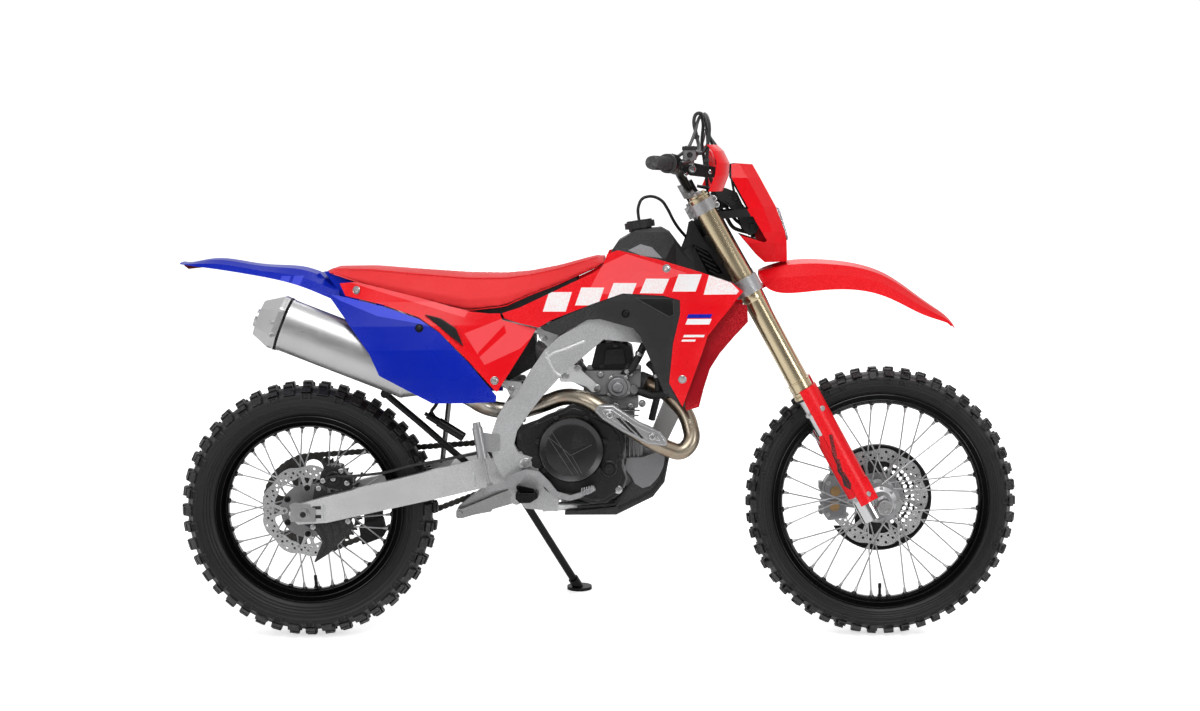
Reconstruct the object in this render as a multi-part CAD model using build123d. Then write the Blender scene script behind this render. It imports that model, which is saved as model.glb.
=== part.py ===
"""Enduro motorcycle, parked on its side stand, as an assembly of separate pieces.

Every piece is modelled in the bike frame: +X forward, +Y to the rider's left, +Z up, with the wheels
upright, the ground at Z = 0 and the rear axle at X = 0. PARK then leans the whole machine onto its stand,
and puts the origin at the bottom centre of its box. Lengths are millimetres and angles are degrees.
"""

from build123d import *

import os
from math import asin, atan2, cos, pi, radians, sin, tan

# ---------------------------------------------------------------- driving dimensions
WHEELBASE = 1483.0
FRONT_RADIUS = 349.5  # to the top of the tread
REAR_RADIUS = 335.0
CROWN = 55.0  # radius of both treads across the tyre, so that both wheels roll alike when leaning
LEAN = 10.0  # towards the rider's left, on the side stand
BOX_CENTRE_X = 749.0  # where the origin lies, from the rear axle
BOX_CENTRE_Y = 209.0  # where the origin lies, from the tyres' track, once leaning

RAKE = 28.3
AXLE_LEAD = 39.0  # front axle ahead of the fork legs
CLAMP_OFFSET = 22.0  # fork legs ahead of the steering axis
LEG_SPACING = 107.0  # each fork leg from the centre plane
FORK_OUTER_R = 27.5
FORK_SLIDER_R = 24.5

PIVOT = (571.0, 465.0)  # swingarm pivot, X and Z
COUNTERSHAFT = (648.0, 478.0)
CHAIN_PITCH = 15.875
CHAIN_Y = 69.0
REAR_TEETH = 51
FRONT_TEETH = 13
PLATE_HALF = 7.3  # half the height of a chain plate
SPROCKET_T = 6.0
CHAIN_GAP = 8.4  # between the inner faces of the plates
CHAIN_PLATE_T = 3.0

RUN = 0.05  # radial clearance of a running fit
SEAT_GAP = 0.3  # between pieces that only touch

AXLE_R = 12.5
AXLE_BORE_R = 8.0
FRONT_AXLE_HALF = 128.0
REAR_AXLE_HALF = 118.0
STEER_LOCK = 42.0

STAND_PIVOT = (524.0, 152.0, 370.0)
STAND_FOOT_OUT = 335.0  # from the tyres' track to the foot, on the ground
STAND_FOOT_X = 690.0
STAND_FOLDED = (-346.0, 22.0, 248.0)  # direction of the leg when folded

SIN_R, COS_R = sin(radians(RAKE)), cos(radians(RAKE))
FRONT_AXLE = Vector(WHEELBASE, 0, FRONT_RADIUS)
REAR_AXLE = Vector(0, 0, REAR_RADIUS)
STEER_TO_AXLE = CLAMP_OFFSET + AXLE_LEAD
STEER_FOOT = Vector(WHEELBASE - STEER_TO_AXLE * COS_R, 0, FRONT_RADIUS - STEER_TO_AXLE * SIN_R)
FORK = Plane(origin=STEER_FOOT, x_dir=(COS_R, 0, SIN_R), z_dir=(-SIN_R, 0, COS_R)).location
LIFT = CROWN * (1 - cos(radians(LEAN)))
PARK = Pos(-BOX_CENTRE_X, -BOX_CENTRE_Y, LIFT) * Rot(-LEAN, 0, 0)


# ---------------------------------------------------------------- shared shapes
def slab(points, low, high):
    """A plate whose side view is the polygon of (x, z) points, from Y = low to Y = high."""
    face = make_face(Polyline(*points, close=True))
    return Pos(0, high, 0) * Rot(90, 0, 0) * extrude(face, high - low)


def rounded_slab(points, low, high, radius):
    """As slab, with every corner of the side view rounded."""
    face = make_face(FilletPolyline(*points, radius=radius, close=True))
    return Pos(0, high, 0) * Rot(90, 0, 0) * extrude(face, high - low)


def plan(points, low, high):
    """A block whose plan view is the polygon of (x, y) points, from Z = low to Z = high."""
    return Pos(0, 0, low) * extrude(make_face(Polyline(*points, close=True)), high - low)


def across(points, low, high):
    """A block whose front view is the polygon of (y, z) points, from X = low to X = high."""
    face = make_face(Polyline(*points, close=True))
    return Pos(low, 0, 0) * Rot(90, 0, 0) * Rot(0, 90, 0) * extrude(face, high - low)


def reflected(shape):
    """The mirror image of a shape about the centre plane."""
    return mirror(shape, Plane.XZ)


def both_sides(shape):
    """The shape and its mirror image about the centre plane, as one list of solids."""
    return shape.solids() + reflected(shape).solids()


def skin(levels, outline, thickness):
    """A thin panel on the right side, cut to a side outline of (x, z) points.

    levels holds (z, [(x, y), ...]) with y the distance of the outer face from the centre plane, front to back.
    """
    sections = []
    for z, curve in levels:
        outer = [(x, -y) for x, y in curve]
        inner = [(x, thickness - y) for x, y in reversed(curve)]
        wire = Wire([
            Spline(*outer).edge(), Line(outer[-1], inner[0]).edge(), Spline(*inner).edge(), Line(inner[-1], outer[0]).edge()
        ])
        sections.append(Pos(0, 0, z) * make_face(wire))
    return loft(sections, ruled=True) & slab(outline, -260, 0)


def arch(sections, thickness):
    """A fender: thin folded sections across the machine, each (x, crown z, edge z, half width), joined smoothly.

    Each side runs from the crown's ridge over a flat top to a crease, and down a steep flank to its edge.
    """
    faces = []
    for x, top, edge, half in sections:
        drop = top - edge
        folds = [(1, 1), (0.9, 0.5), (0.52, 0.13), (0, 0)]  # shares of the half width and of the drop
        outer = [(-half * out, top - drop * down) for out, down in folds]
        outer += [(-y, z) for y, z in reversed(outer[:-1])]
        narrow = (half - thickness) / half
        inner = [(y * narrow, z - thickness * (abs(y) < half)) for y, z in reversed(outer)]
        faces.append(
            Pos(x, 0, 0) * Rot(90, 0, 0) * Rot(0, 90, 0) * make_face(Polyline(*outer, *inner, close=True))
        )
    return loft(faces)


def rod(start, end, radius):
    """A round bar between two points."""
    start, end = Vector(*start), Vector(*end)
    direction = end - start
    return Plane(origin=start, z_dir=direction).location * extrude(Circle(radius), direction.length)


def cross_rod(x, z, low, high, radius):
    """A round bar along Y."""
    return rod((x, low, z), (x, high, z), radius)


def tube(points, radius, bend=None):
    """A round tube along straight runs that are joined by tangent arcs."""
    points = [Vector(*p) for p in points]
    bends = []
    for before, here, after in zip(points, points[1:], points[2:]):
        turn = radians((here - before).get_angle(after - here))
        run = min((here - before).length, (after - here).length)
        widest = 0.45 * run / tan(turn / 2)
        bends.append(min(widest, bend) if bend else widest)
    path = FilletPolyline(*points, radius=bends) if bends else Line(*points)
    section = Plane(origin=path @ 0, z_dir=path % 0) * Circle(radius)
    return sweep(section, path=path)


def ring(radius_out, radius_in, low, high):
    """A flat ring about the Y axis."""
    face = Circle(radius_out) - Circle(radius_in)
    return Pos(0, high, 0) * Rot(90, 0, 0) * extrude(face, high - low)


def turned(points):
    """A body turned about Y from (radius, y) points."""
    return revolve(make_face(Polyline(*points, close=True)), axis=Axis.Y)


def fused(shapes):
    """One shape from several that touch."""
    shapes = list(shapes)
    return shapes[0].fuse(*shapes[1:]).clean() if len(shapes) > 1 else shapes[0]


def polar_face(radii, count):
    """A closed smooth face whose radius follows a list of values, repeated count times round the circle."""
    total = len(radii) * count
    points = [
        (radii[i % len(radii)] * cos(2 * pi * i / total), radii[i % len(radii)] * sin(2 * pi * i / total))
        for i in range(total)
    ]
    return make_face(Spline(*points, periodic=True))


# ---------------------------------------------------------------- wheels
FRONT_WHEEL = {
    "radius": FRONT_RADIUS,
    "half_width": 45.0,
    "flange_r": 280.0,
    "flange_y": 25.0,
    "well_r": 253.0,
    "hub_r": 46.0,
    "hub_y": 31.0,
    "barrel_r": 24.0,
    "spoke_lean": 44.0,
    "count": 36,
}
REAR_WHEEL = {
    "radius": REAR_RADIUS,
    "half_width": 56.0,
    "flange_r": 246.0,
    "flange_y": 31.0,
    "well_r": 213.0,
    "hub_r": 56.0,
    "hub_y": 30.0,
    "barrel_r": 30.0,
    "spoke_lean": 34.0,
    "count": 36,
}
SPOKE_R = 1.9
NIPPLE_R = 3.2
NIPPLE_LENGTH = 13.0
CARRIER_BORE = 34.0
DISC_T = 3.0
REAR_DISC_T = 4.0
FRONT_CARRIERS = {1: (51.0, 66.0)}
REAR_CARRIERS = {1: (CHAIN_Y - SPROCKET_T / 2, 58.0), -1: (50.0, 70.0)}
RIM_T = 3.5
TYRE_WALL = 8.0


def tyre(w):
    """A tyre's carcass out to the top of its tread, hollow, with its beads inside the rim's flanges."""
    r, half, flange = w["radius"], w["half_width"], w["flange_r"]
    bead_y = w["flange_y"] - RIM_T - SEAT_GAP
    bead_r = flange - 13.0
    edge_y = 0.62 * half  # where the crown's arc ends
    edge_r = r - CROWN + (CROWN**2 - edge_y**2) ** 0.5
    shoulder = (edge_r - 0.16 * (edge_r - flange), 0.9 * half)
    belly = (flange + 0.45 * (r - flange), half)
    outer = [
        ThreePointArc((edge_r, -edge_y), (r, 0), (edge_r, edge_y)),
        Spline((edge_r, edge_y), shoulder, belly, (flange + 5, bead_y + 3), (flange - 2, bead_y)),
        Line((flange - 2, bead_y), (bead_r, bead_y)),
        Line((bead_r, bead_y), (bead_r, bead_y - 7)),
    ]
    inner_half = half - TYRE_WALL
    inner = [
        Line((bead_r, bead_y - 7), (flange + 2, bead_y - 6)),
        Spline(
            (flange + 2, bead_y - 6),
            (belly[0], inner_half),
            (shoulder[0] - TYRE_WALL, shoulder[1] - TYRE_WALL),
            (r - 2.0 * TYRE_WALL, 0),
            (shoulder[0] - TYRE_WALL, TYRE_WALL - shoulder[1]),
            (belly[0], -inner_half),
            (flange + 2, 6 - bead_y),
        ),
        Line((flange + 2, 6 - bead_y), (bead_r, 7 - bead_y)),
    ]
    left = [
        Line((bead_r, 7 - bead_y), (bead_r, -bead_y)),
        Line((bead_r, -bead_y), (flange - 2, -bead_y)),
        Spline(
            (flange - 2, -bead_y), (flange + 5, -bead_y - 3), (belly[0], -half), (
                shoulder[0], -shoulder[1]
            ), (edge_r, -edge_y)
        ),
    ]
    return revolve(make_face(Wire(Curve() + outer + inner + left)), axis=Axis.Y)


def rim(w):
    """An aluminium rim with a dropped centre and upright flanges."""
    flange, y, well = w["flange_r"], w["flange_y"], w["well_r"]
    seat = flange - 13.0 - SEAT_GAP
    half = [
        (well, 0.3 * y),
        (well + 3, 0.55 * y),
        (seat - 5, y - 1.5),
        (flange - 1.5, y),
        (flange, y - 1.2),
        (flange - 2.5, y - RIM_T),
        (seat, y - RIM_T),
        (seat, y - 8),
        (well + RIM_T + 1, 0.4 * y),
    ]
    return turned(half + [(r, -side) for r, side in reversed(half)])


def spoke(w, turn, side, outside, sense):
    """One spoke with its nipple, from the hub's flange to the rim's well."""
    hub_angle = radians(turn + sense * w["spoke_lean"])
    hub_y = side * (w["hub_y"] + (6.2 if outside else -6.6))
    start = Vector(w["hub_r"] * cos(hub_angle), hub_y, w["hub_r"] * sin(hub_angle))
    rim_r = w["well_r"] - SEAT_GAP
    end = Vector(rim_r * cos(radians(turn)), side * 3.0, rim_r * sin(radians(turn)))
    along = (end - start).normalized()
    nipple_start = end - along * NIPPLE_LENGTH
    return fused([rod(start, end - along, SPOKE_R), rod(nipple_start, end - along * 0.8, NIPPLE_R)])


def spokes(w):
    """Every spoke of a wheel, each a solid of its own."""
    step = 360 / w["count"]
    made = []
    for i in range(w["count"]):
        side = 1 if i % 2 else -1
        outside = (i // 2) % 2 == 0
        made.append(spoke(w, (i + 0.5) * step, side, outside, 1 if outside else -1))
    return made


def hub(w, carriers):
    """A hub turned from one bar, with two spoke flanges and a round carrier for each (y, radius) in carriers.

    A carrier's face lies at its y, and its boss runs 8 mm on through what it carries.
    """
    r, y, barrel = w["hub_r"], w["hub_y"], w["barrel_r"]
    bore = AXLE_R + RUN
    flange_t = 4.4

    def side(sign):
        reach, carrier_r = carriers.get(sign, (None, None))
        points = [
            (r + 5, y - flange_t / 2), (r + 5, y + flange_t / 2), (r - 6, y + flange_t / 2),
            (barrel + 4, y + 8)
        ]
        if reach:
            spigot = CARRIER_BORE - SEAT_GAP
            points[-1:] = [
                (barrel + 4, reach - 7), (carrier_r, reach - 6), (carrier_r, reach), (spigot, reach),
                (spigot, reach + 8)
            ]
            end = reach + 8
        else:
            end = y + 8
        return [(barrel + 3, y - 8)] + points + [(bore, end)]

    left, right = side(1), side(-1)
    profile = [(radius, -reach) for radius, reach in reversed(right)] + [(barrel, 0)] + left
    body = turned(profile)
    holes = [
        Pos(0.76 * r * cos(a), 0, 0.76 * r * sin(a)) * Rot(90, 0, 0) * Cylinder(0.1 * r, 2 * y + 12)
        for a in [2 * pi * i / 8 for i in range(8)]
    ]
    return body - holes


def hub_end(w, carriers, sign):
    """How far the hub reaches along its axle on one side."""
    return carriers[sign][0] + 8 if sign in carriers else w["hub_y"] + 8


def disc(outer, inner, thickness, bolt_r, arms):
    """A brake disc with a waved edge, drilled all round, on arms that reach in to its bolts."""
    wave = [outer, outer - 1.2, outer - 5.5, outer - 5.5, outer - 1.2]
    face = polar_face(wave, 9) - polar_face([inner, inner - 1, inner + 4, inner - 1], 9)
    step = 2 * pi / 9
    for i in range(9):
        for turn, radius in ((0.0, outer - 9), (0.25, outer - 16), (0.5, outer - 17), (0.75, outer - 16)):
            a = (i + turn) * step
            face -= Pos(radius * cos(a), radius * sin(a)) * Circle(3.4)
        for turn in (0.12, 0.38, 0.62, 0.88):
            a = (i + turn) * step
            face -= Pos((inner + 8) * cos(a), (inner + 8) * sin(a)) * Circle(3.0)
    for i in range(arms):
        turn = 360 * i / arms
        arm = Polyline((bolt_r - 4, -6), (inner + 6, -20), (inner + 6, 20), (bolt_r - 4, 6), close=True)
        window = Polyline(
            (bolt_r + 12, -2.5), (inner - 1, -9), (inner - 1, 9), (bolt_r + 12, 2.5), close=True
        )
        face += Rot(0, 0, turn) * (make_face(arm) + Pos(bolt_r, 0) * Circle(9) - make_face(window))
    for i in range(arms):
        face -= Rot(0, 0, 360 * i / arms) * Pos(bolt_r, 0) * Circle(4.2)
    return Rot(90, 0, 0) * extrude(face, thickness)


# ---------------------------------------------------------------- chain drive
def sprocket_radius(teeth):
    """Pitch radius of a sprocket."""
    return CHAIN_PITCH / 2 / sin(pi / teeth)


def sprocket(teeth, thickness, bore_r, windows=0):
    """A toothed wheel about Y, with round windows between its bolts."""
    pitch_r = sprocket_radius(teeth)
    points = []
    for i in range(teeth):
        for share, reach in ((0.0, -5.2), (0.28, -1.5), (0.43, 4.0), (0.57, 4.0), (0.72, -1.5)):
            a = 2 * pi * (i + share) / teeth
            points.append(((pitch_r + reach) * cos(a), (pitch_r + reach) * sin(a)))
    face = make_face(Polyline(*points, close=True)) - Circle(bore_r)
    for i in range(windows):
        a = 2 * pi * (i + 0.5) / windows
        window_r = 0.2 * pitch_r
        middle = 0.72 * pitch_r
        face -= Pos(middle * cos(a), middle * sin(a)) * Circle(window_r)
    return Pos(0, thickness / 2, 0) * Rot(90, 0, 0) * extrude(face, thickness)


def countershaft_sprocket():
    """The engine's sprocket."""
    return Pos(
        COUNTERSHAFT[0], CHAIN_Y, COUNTERSHAFT[1]
    ) * sprocket(FRONT_TEETH, SPROCKET_T, 12 + SEAT_GAP)


def chain_route():
    """Pin centres of the whole loop in (x, z), evenly spaced, with a flag that is true where a sprocket holds it."""
    big, small = sprocket_radius(REAR_TEETH), sprocket_radius(FRONT_TEETH)
    span = Vector(COUNTERSHAFT[0], COUNTERSHAFT[1] - REAR_RADIUS)
    slope = atan2(span.Y, span.X)
    tilt = asin((big - small) / span.length)
    straight = span.length * cos(tilt)
    wrap_big, wrap_small = big * (pi + 2 * tilt), small * (pi - 2 * tilt)
    loop = 2 * straight + wrap_big + wrap_small
    links = 2 * round(loop / CHAIN_PITCH / 2)
    route = []
    for i in range(links):
        s = i * loop / links
        if s < straight:  # top run, forward
            a = slope - tilt
            start = (big * cos(a + pi / 2), REAR_RADIUS + big * sin(a + pi / 2))
            route.append((start[0] + s * cos(a), start[1] + s * sin(a), False))
        elif s < straight + wrap_small:
            a = slope - tilt + pi / 2 - (s - straight) / small
            route.append((COUNTERSHAFT[0] + small * cos(a), COUNTERSHAFT[1] + small * sin(a), True))
        elif s < 2 * straight + wrap_small:  # bottom run, backward
            a = slope + tilt
            start = (
                COUNTERSHAFT[0] + small * cos(a - pi / 2),
                COUNTERSHAFT[1] + small * sin(a - pi / 2),
            )
            t = s - straight - wrap_small
            route.append((start[0] - t * cos(a), start[1] - t * sin(a), False))
        else:
            a = slope + tilt - pi / 2 - (s - 2 * straight - wrap_small) / big
            route.append((big * cos(a), REAR_RADIUS + big * sin(a), True))
    return route


def waved_loop(pins, reach):
    """A closed wire of one arc a link, that bulges round each pin by reach and is narrower between the pins."""
    count = len(pins)
    crest, waist = [], []
    for i, (x, z, _) in enumerate(pins):
        before, after = pins[i - 1], pins[(i + 1) % count]
        d = Vector(after[0] - before[0], after[1] - before[1]).normalized()
        crest.append((x - d.Y * reach, z + d.X * reach))
        e = Vector(after[0] - x, after[1] - z).normalized()
        middle = ((x + after[0]) / 2, (z + after[1]) / 2)
        waist.append((middle[0] - e.Y * reach * 0.72, middle[1] + e.X * reach * 0.72))
    return Wire([ThreePointArc(waist[i - 1], crest[i], waist[i]).edge() for i in range(count)])


def chain():
    """The drive chain: two rows of plates joined by rollers, except on the sprockets, where teeth fill the gap."""
    pins = chain_route()
    face = Face(waved_loop(pins, PLATE_HALF), [waved_loop(pins, -PLATE_HALF)])
    row = Rot(90, 0, 0) * extrude(face, CHAIN_PLATE_T, dir=(0, 0, 1))
    gap = CHAIN_GAP / 2
    rows = [Pos(0, CHAIN_Y - gap, 0) * row, Pos(0, CHAIN_Y + gap + CHAIN_PLATE_T, 0) * row]
    held = [p[2] for p in pins]
    count = len(pins)
    rollers = [
        cross_rod(x, z, CHAIN_Y - gap - 1, CHAIN_Y + gap + 1, 4.6)
        for i, (x, z, _) in enumerate(pins)
        if not any(held[(i + k) % count] for k in range(-3, 4))
    ]
    return fused(rows + rollers)


# ---------------------------------------------------------------- frame
SPAR_SIDE = [
    (1062, 1058), (1010, 1026), (860, 918), (732, 832), (660, 790), (621, 755), (578, 693), (546, 636),
    (520, 621),
    (500, 587), (486, 548), (483, 500), (493, 465), (515, 420), (530, 390), (570, 350), (650, 342),
    (655, 372),
    (618, 400), (604, 440), (600, 478), (553, 492), (541, 514), (549, 548), (578, 591), (616, 639),
    (665, 692),
    (723, 740), (771, 781), (868, 770), (960, 806), (1100, 935),
]
SPAR_OUT = [(1110, 24), (1040, 40), (1000, 56), (900, 96), (790, 118), (660, 127), (470, 127)]
SPAR_IN = [(470, 99), (660, 99), (790, 90), (900, 66), (1000, 28), (1040, 4), (1110, 4)]
FRAME_Y, FRAME_INNER_Y = 127.0, 99.0
HEAD_LOW, HEAD_HIGH = 698.0, 868.0  # along the steering axis
HEAD_R, HEAD_BORE_R = 31.0, 22.0
CRADLE_Y, CRADLE_R, CRADLE_Z = 62.0, 11.0, 350.0
SHOCK_TUBE, SHOCK_TUBE_R = (556, 640), 17.0
LINK_TUBE, LINK_TUBE_R = (545, 372), 15.0
PEG_PLATE = [(544, 412), (592, 402), (592, 372), (556, 372)]
STAND_PIN_R = 7.0
STAND_BOSS_R, STAND_BOSS_HALF = 19.0, 11.5


def spar(grow=0.0):
    """The right spar with its pivot plate, or the room it takes with grow added all round."""
    side = make_face(Polyline(*SPAR_SIDE, close=True))
    over = make_face(Polyline(*[(x, -y) for x, y in SPAR_OUT + SPAR_IN], close=True))
    if grow:
        side, over = offset(side, grow), offset(over, grow)
    return (Rot(90, 0, 0) * extrude(side, 170)) & (Pos(0, 0, 300) * extrude(over, 800))


def stand_bracket():
    """The frame's bracket and pin for the side stand."""
    pivot, axis = Vector(*STAND_PIVOT), stand_fold()[0]
    face = pivot - axis * (STAND_BOSS_HALF + SEAT_GAP)
    plate = rod(face - axis * 22, face, 17)
    neck = rod(face - axis * 16, (520, 108, 396), 14) - rod(face, face + axis * 40, 40)
    top = pivot + axis * (STAND_BOSS_HALF + SEAT_GAP)
    return [plate, neck, rod(face - axis * 4, top, STAND_PIN_R), rod(top, top + axis * 5, 11)]


def main_frame():
    """Twin-spar frame: head tube, spars with their pivot plates, cross tubes and the side stand's bracket."""
    right = spar()
    head = FORK * Pos(0, 0, HEAD_LOW) * extrude(Circle(HEAD_R), HEAD_HIGH - HEAD_LOW)
    cross = [
        cross_rod(*SHOCK_TUBE, -110, 110, SHOCK_TUBE_R),
        cross_rod(*LINK_TUBE, -110, 110, LINK_TUBE_R),
        cross_rod(985, 850, -56, 56, 14),
    ]
    body = fused([head, right, reflected(right)] + cross + stand_bracket()) - clamp_room()
    body -= FORK * Pos(0, 0, HEAD_LOW - 10) * extrude(Circle(HEAD_BORE_R), HEAD_HIGH - HEAD_LOW + 20)
    pocket = rounded_slab(
        [
            (858, 878), (812, 846), (824, 828), (880, 812), (950, 842), (1010, 900), (1002, 930),
            (940, 920)
        ],
        -200, 200, 8
    )
    pocket -= Box(4000, 2 * 66, 4000)
    return body - cross_rod(*PIVOT, -150, 150, 9 + RUN) - (pocket - spar_wall())


def spar_wall():
    """What stays of the spars where they are pocketed: all but their outer 6 mm."""
    inner = [(x, -(y - 6)) for x, y in SPAR_OUT] + [(470, 0), (1110, 0)]
    over = make_face(Polyline(*inner, close=True))
    half = Pos(0, 0, 300) * extrude(over, 900)
    return fused([half, reflected(half)])


def frame_cradle():
    """Down tube and the two tubes under the engine, welded to the frame."""
    down = slab(
        [
            (1078, 944), (1046, 928), (985, 765), (878, 500), (870, 430), (904, 420), (920, 484),
            (1000, 650)
        ],
        -21, 21
    )
    tubes = []
    for side in (1, -1):
        route = [
            (890, side * 10, 470), (886, side * 30, 414), (862, side * 50, 384),
            (800, side * CRADLE_Y, CRADLE_Z), (705, side * 67, CRADLE_Z), (614, side * 108, CRADLE_Z)
        ]
        tubes.append(tube(route, CRADLE_R))
    cross = cross_rod(664, CRADLE_Z, -90, 90, 9)
    head = FORK * Pos(0, 0, HEAD_LOW - 12) * extrude(Circle(HEAD_R + RUN), HEAD_HIGH - HEAD_LOW)
    return fused([down, cross] + tubes) - [spar(RUN), reflected(spar(RUN)), head, clamp_room()]


def clamp_room():
    """Where the lower clamp sweeps under the head tube and round its foot."""
    height = LOWER_CLAMP[1] - LOWER_CLAMP[0]
    under = extrude(Circle(66), height + 6 + SEAT_GAP)
    around = extrude(Circle(66) - Circle(HEAD_R + RUN), height + 11)
    return FORK * Pos(0, 0, LOWER_CLAMP[0] - 6) * fused([under, around])


UPPER_RAIL = [(640, -88, 796), (430, -78, 838), (160, -62, 900)]
LOWER_RAIL = [(548, -88, 650), (430, -82, 718), (215, -66, 872)]
RAIL_R = 11.0


def subframe():
    """Rear subframe: two upper rails under the seat, two lower rails and the cross tubes that join them."""
    upper, lower = tube(UPPER_RAIL, RAIL_R, 200), tube(LOWER_RAIL, RAIL_R, 200)
    face = FRAME_INNER_Y - SEAT_GAP
    lug_up = rounded_slab([(600, 812), (652, 812), (658, 776), (640, 748), (606, 786)], -face, -84, 5)
    lug_low = rounded_slab([(512, 676), (560, 672), (566, 640), (536, 626)], -face, -84, 5)
    mount = slab([(146, 896), (190, 886), (178, 770), (158, 770)], -84, -68)
    right = fused([upper, lower, lug_up, lug_low]) - cross_rod(
        *SHOCK_TUBE, -120, 120, SHOCK_TUBE_R + SEAT_GAP
    )
    tab = (mount - can_room()).solids().sort_by(Axis.Z)[-1]
    cross = [cross_rod(172, 893, -63, 63, 9), cross_rod(470, 830, -80, 80, 9)]
    return fused([right, reflected(right), tab] + cross)


# ---------------------------------------------------------------- engine
CASE_Y = 84.0
HEAD_Y = 70.0
CLUTCH = (688, 503)
GENERATOR = (764, 470)
COVER_R = 84.0


def crankcase():
    """Crankcase and gearbox as one casting, from side to side, open at the countershaft."""
    outline = [
        (612, 490), (610, 556), (650, 584), (720, 590), (790, 575), (842, 545), (854, 470), (842, 400),
        (800, 371),
        (690, 371), (644, 396), (622, 424),
    ]
    body = rounded_slab(outline, -CASE_Y, CASE_Y, 12)
    right = rounded_slab([
        (568, 500), (562, 548), (640, 574), (742, 574), (791, 550), (826, 512), (821, 463), (829, 425),
        (820, 393),
        (791, 371), (694, 371), (644, 396), (624, 420), (614, 490),
    ], -112, -CASE_Y + 4, 7)
    left = rounded_slab(
        [(700, 556), (800, 556), (836, 500), (828, 410), (790, 376), (706, 376), (702, 470)], CASE_Y - 4,
        104, 12
    )
    case = fused([body, right, left])
    shaft = cross_rod(*COUNTERSHAFT, 40, CHAIN_Y - SPROCKET_T / 2 + 14, 12)
    relief = cross_rod(*COUNTERSHAFT, 44, 120, 60)
    return fused([case - relief - cross_rod(*PIVOT, -150, 150, 40), shaft])


def engine_covers():
    """The clutch cover on the right and the generator cover on the left, each a raised round cover with its bolts."""
    clutch = [Pos(CLUTCH[0], 0, CLUTCH[1]) * turned([
        (0, -148), (58, -148), (62, -145), (66, -145), (71, -148), (77, -145), (COVER_R, -132),
        (COVER_R + 2, -128),
        (COVER_R + 2, -112 - 0.05), (0, -112 - 0.05),
    ])]
    generator = [Pos(GENERATOR[0], 0, GENERATOR[1]) * turned([
        (0, 104.05), (70, 104.05), (70, 112), (62, 124), (40, 128), (36, 125), (0, 125),
    ])]
    for (x, z), low, high, reach, parts, count in (
        (CLUTCH, -136, -112.05, COVER_R + 3, clutch, 7), (GENERATOR, 104.05, 116, 72, generator, 6),
    ):
        for i in range(count):
            a = 2 * pi * (i + 0.25) / count
            parts.append(cross_rod(x + reach * cos(a), z + reach * sin(a), low, high, 7))
    return [fused(clutch), fused(generator)]


def cylinder():
    """Cylinder barrel, head and cam cover, stacked on the crankcase, with the water pump beside the barrel."""
    barrel = rounded_slab([(718, 540), (846, 540), (850, 636), (722, 636)], -60, 60, 5)
    fins = rounded_slab([(712, 600), (858, 600), (858, 630), (712, 630)], -66, 66, 5)
    head = rounded_slab([(716, 636), (862, 636), (866, 700), (724, 700)], -HEAD_Y, HEAD_Y, 6)
    pump = turned([(0, -97), (17, -97), (21, -92), (26, -90), (26, -60), (0, -60)])
    casing = crankcase_room()
    cover = rounded_slab([(736, 700.05), (850, 700.05), (842, 756), (806, 770), (752, 764)], -56, 56, 10)
    bolts = [rod((x, y, 752), (x, y, 775), 6) for x in (768, 826) for y in (-40, 40)]
    plug = cross_rod(794, 738, -60, -50, 16)
    port = rod(PORT - HEADER_OUT * 26, PORT, 24)
    body = fused([barrel, fins, head, Pos(812, 0, 655) * pump, port])
    return [body - casing, fused([cover, plug] + bolts)]


def crankcase_room():
    """The space of the crankcase's middle, which the barrel stands on."""
    outline = [
        (600, 380), (610, 556), (650, 584), (720, 590.05), (790, 575.05), (842, 545.05), (900, 470),
        (842, 400)
    ]
    return slab(outline, -CASE_Y - 5, CASE_Y + 5)


def throttle_body():
    """Throttle body and rubber boot between the head and the air box."""
    intake = fused([rod((732, 0, 668), (640, 0, 716), 26), rod((668, 0, 701), (585, 0, 742), 33), cross_rod(672, 700, -44, 44, 11)])
    keep = slab([(594, 630), (594, 800), (723.7, 800), (723.7, 700), (715.7, 636), (715, 630)], -60, 60)
    return intake & keep


# ---------------------------------------------------------------- exhaust
SIL_Y = -118.0
SIL_REAR = Vector(-43.5, SIL_Y, 825.5)  # middle of the joint between can and end cap
SIL_TILT = 21.5
SIL_HALF_W, SIL_HALF_H = 50.0, 68.0
CAN_LENGTH = 350.0
CONE_LENGTH = 74.0
INLET_LENGTH = 26.0
HEADER_R = 21.0
PORT = Vector(884, -23, 658.6)  # face of the exhaust port
HEADER_OUT = Vector(61, -33, -22).normalized()  # way out of the port
SIL = Plane(
    origin=SIL_REAR, x_dir=(sin(radians(SIL_TILT)), 0, cos(radians(SIL_TILT))),
    z_dir=(cos(radians(SIL_TILT)), 0, -sin(radians(SIL_TILT))),
).location  # local X up, Y to the left, Z forward along the can


def can_room():
    """The room that the silencer's can needs, with a seat's gap."""
    return SIL * extrude(Ellipse(SIL_HALF_H + SEAT_GAP, SIL_HALF_W + SEAT_GAP), CAN_LENGTH)


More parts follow.
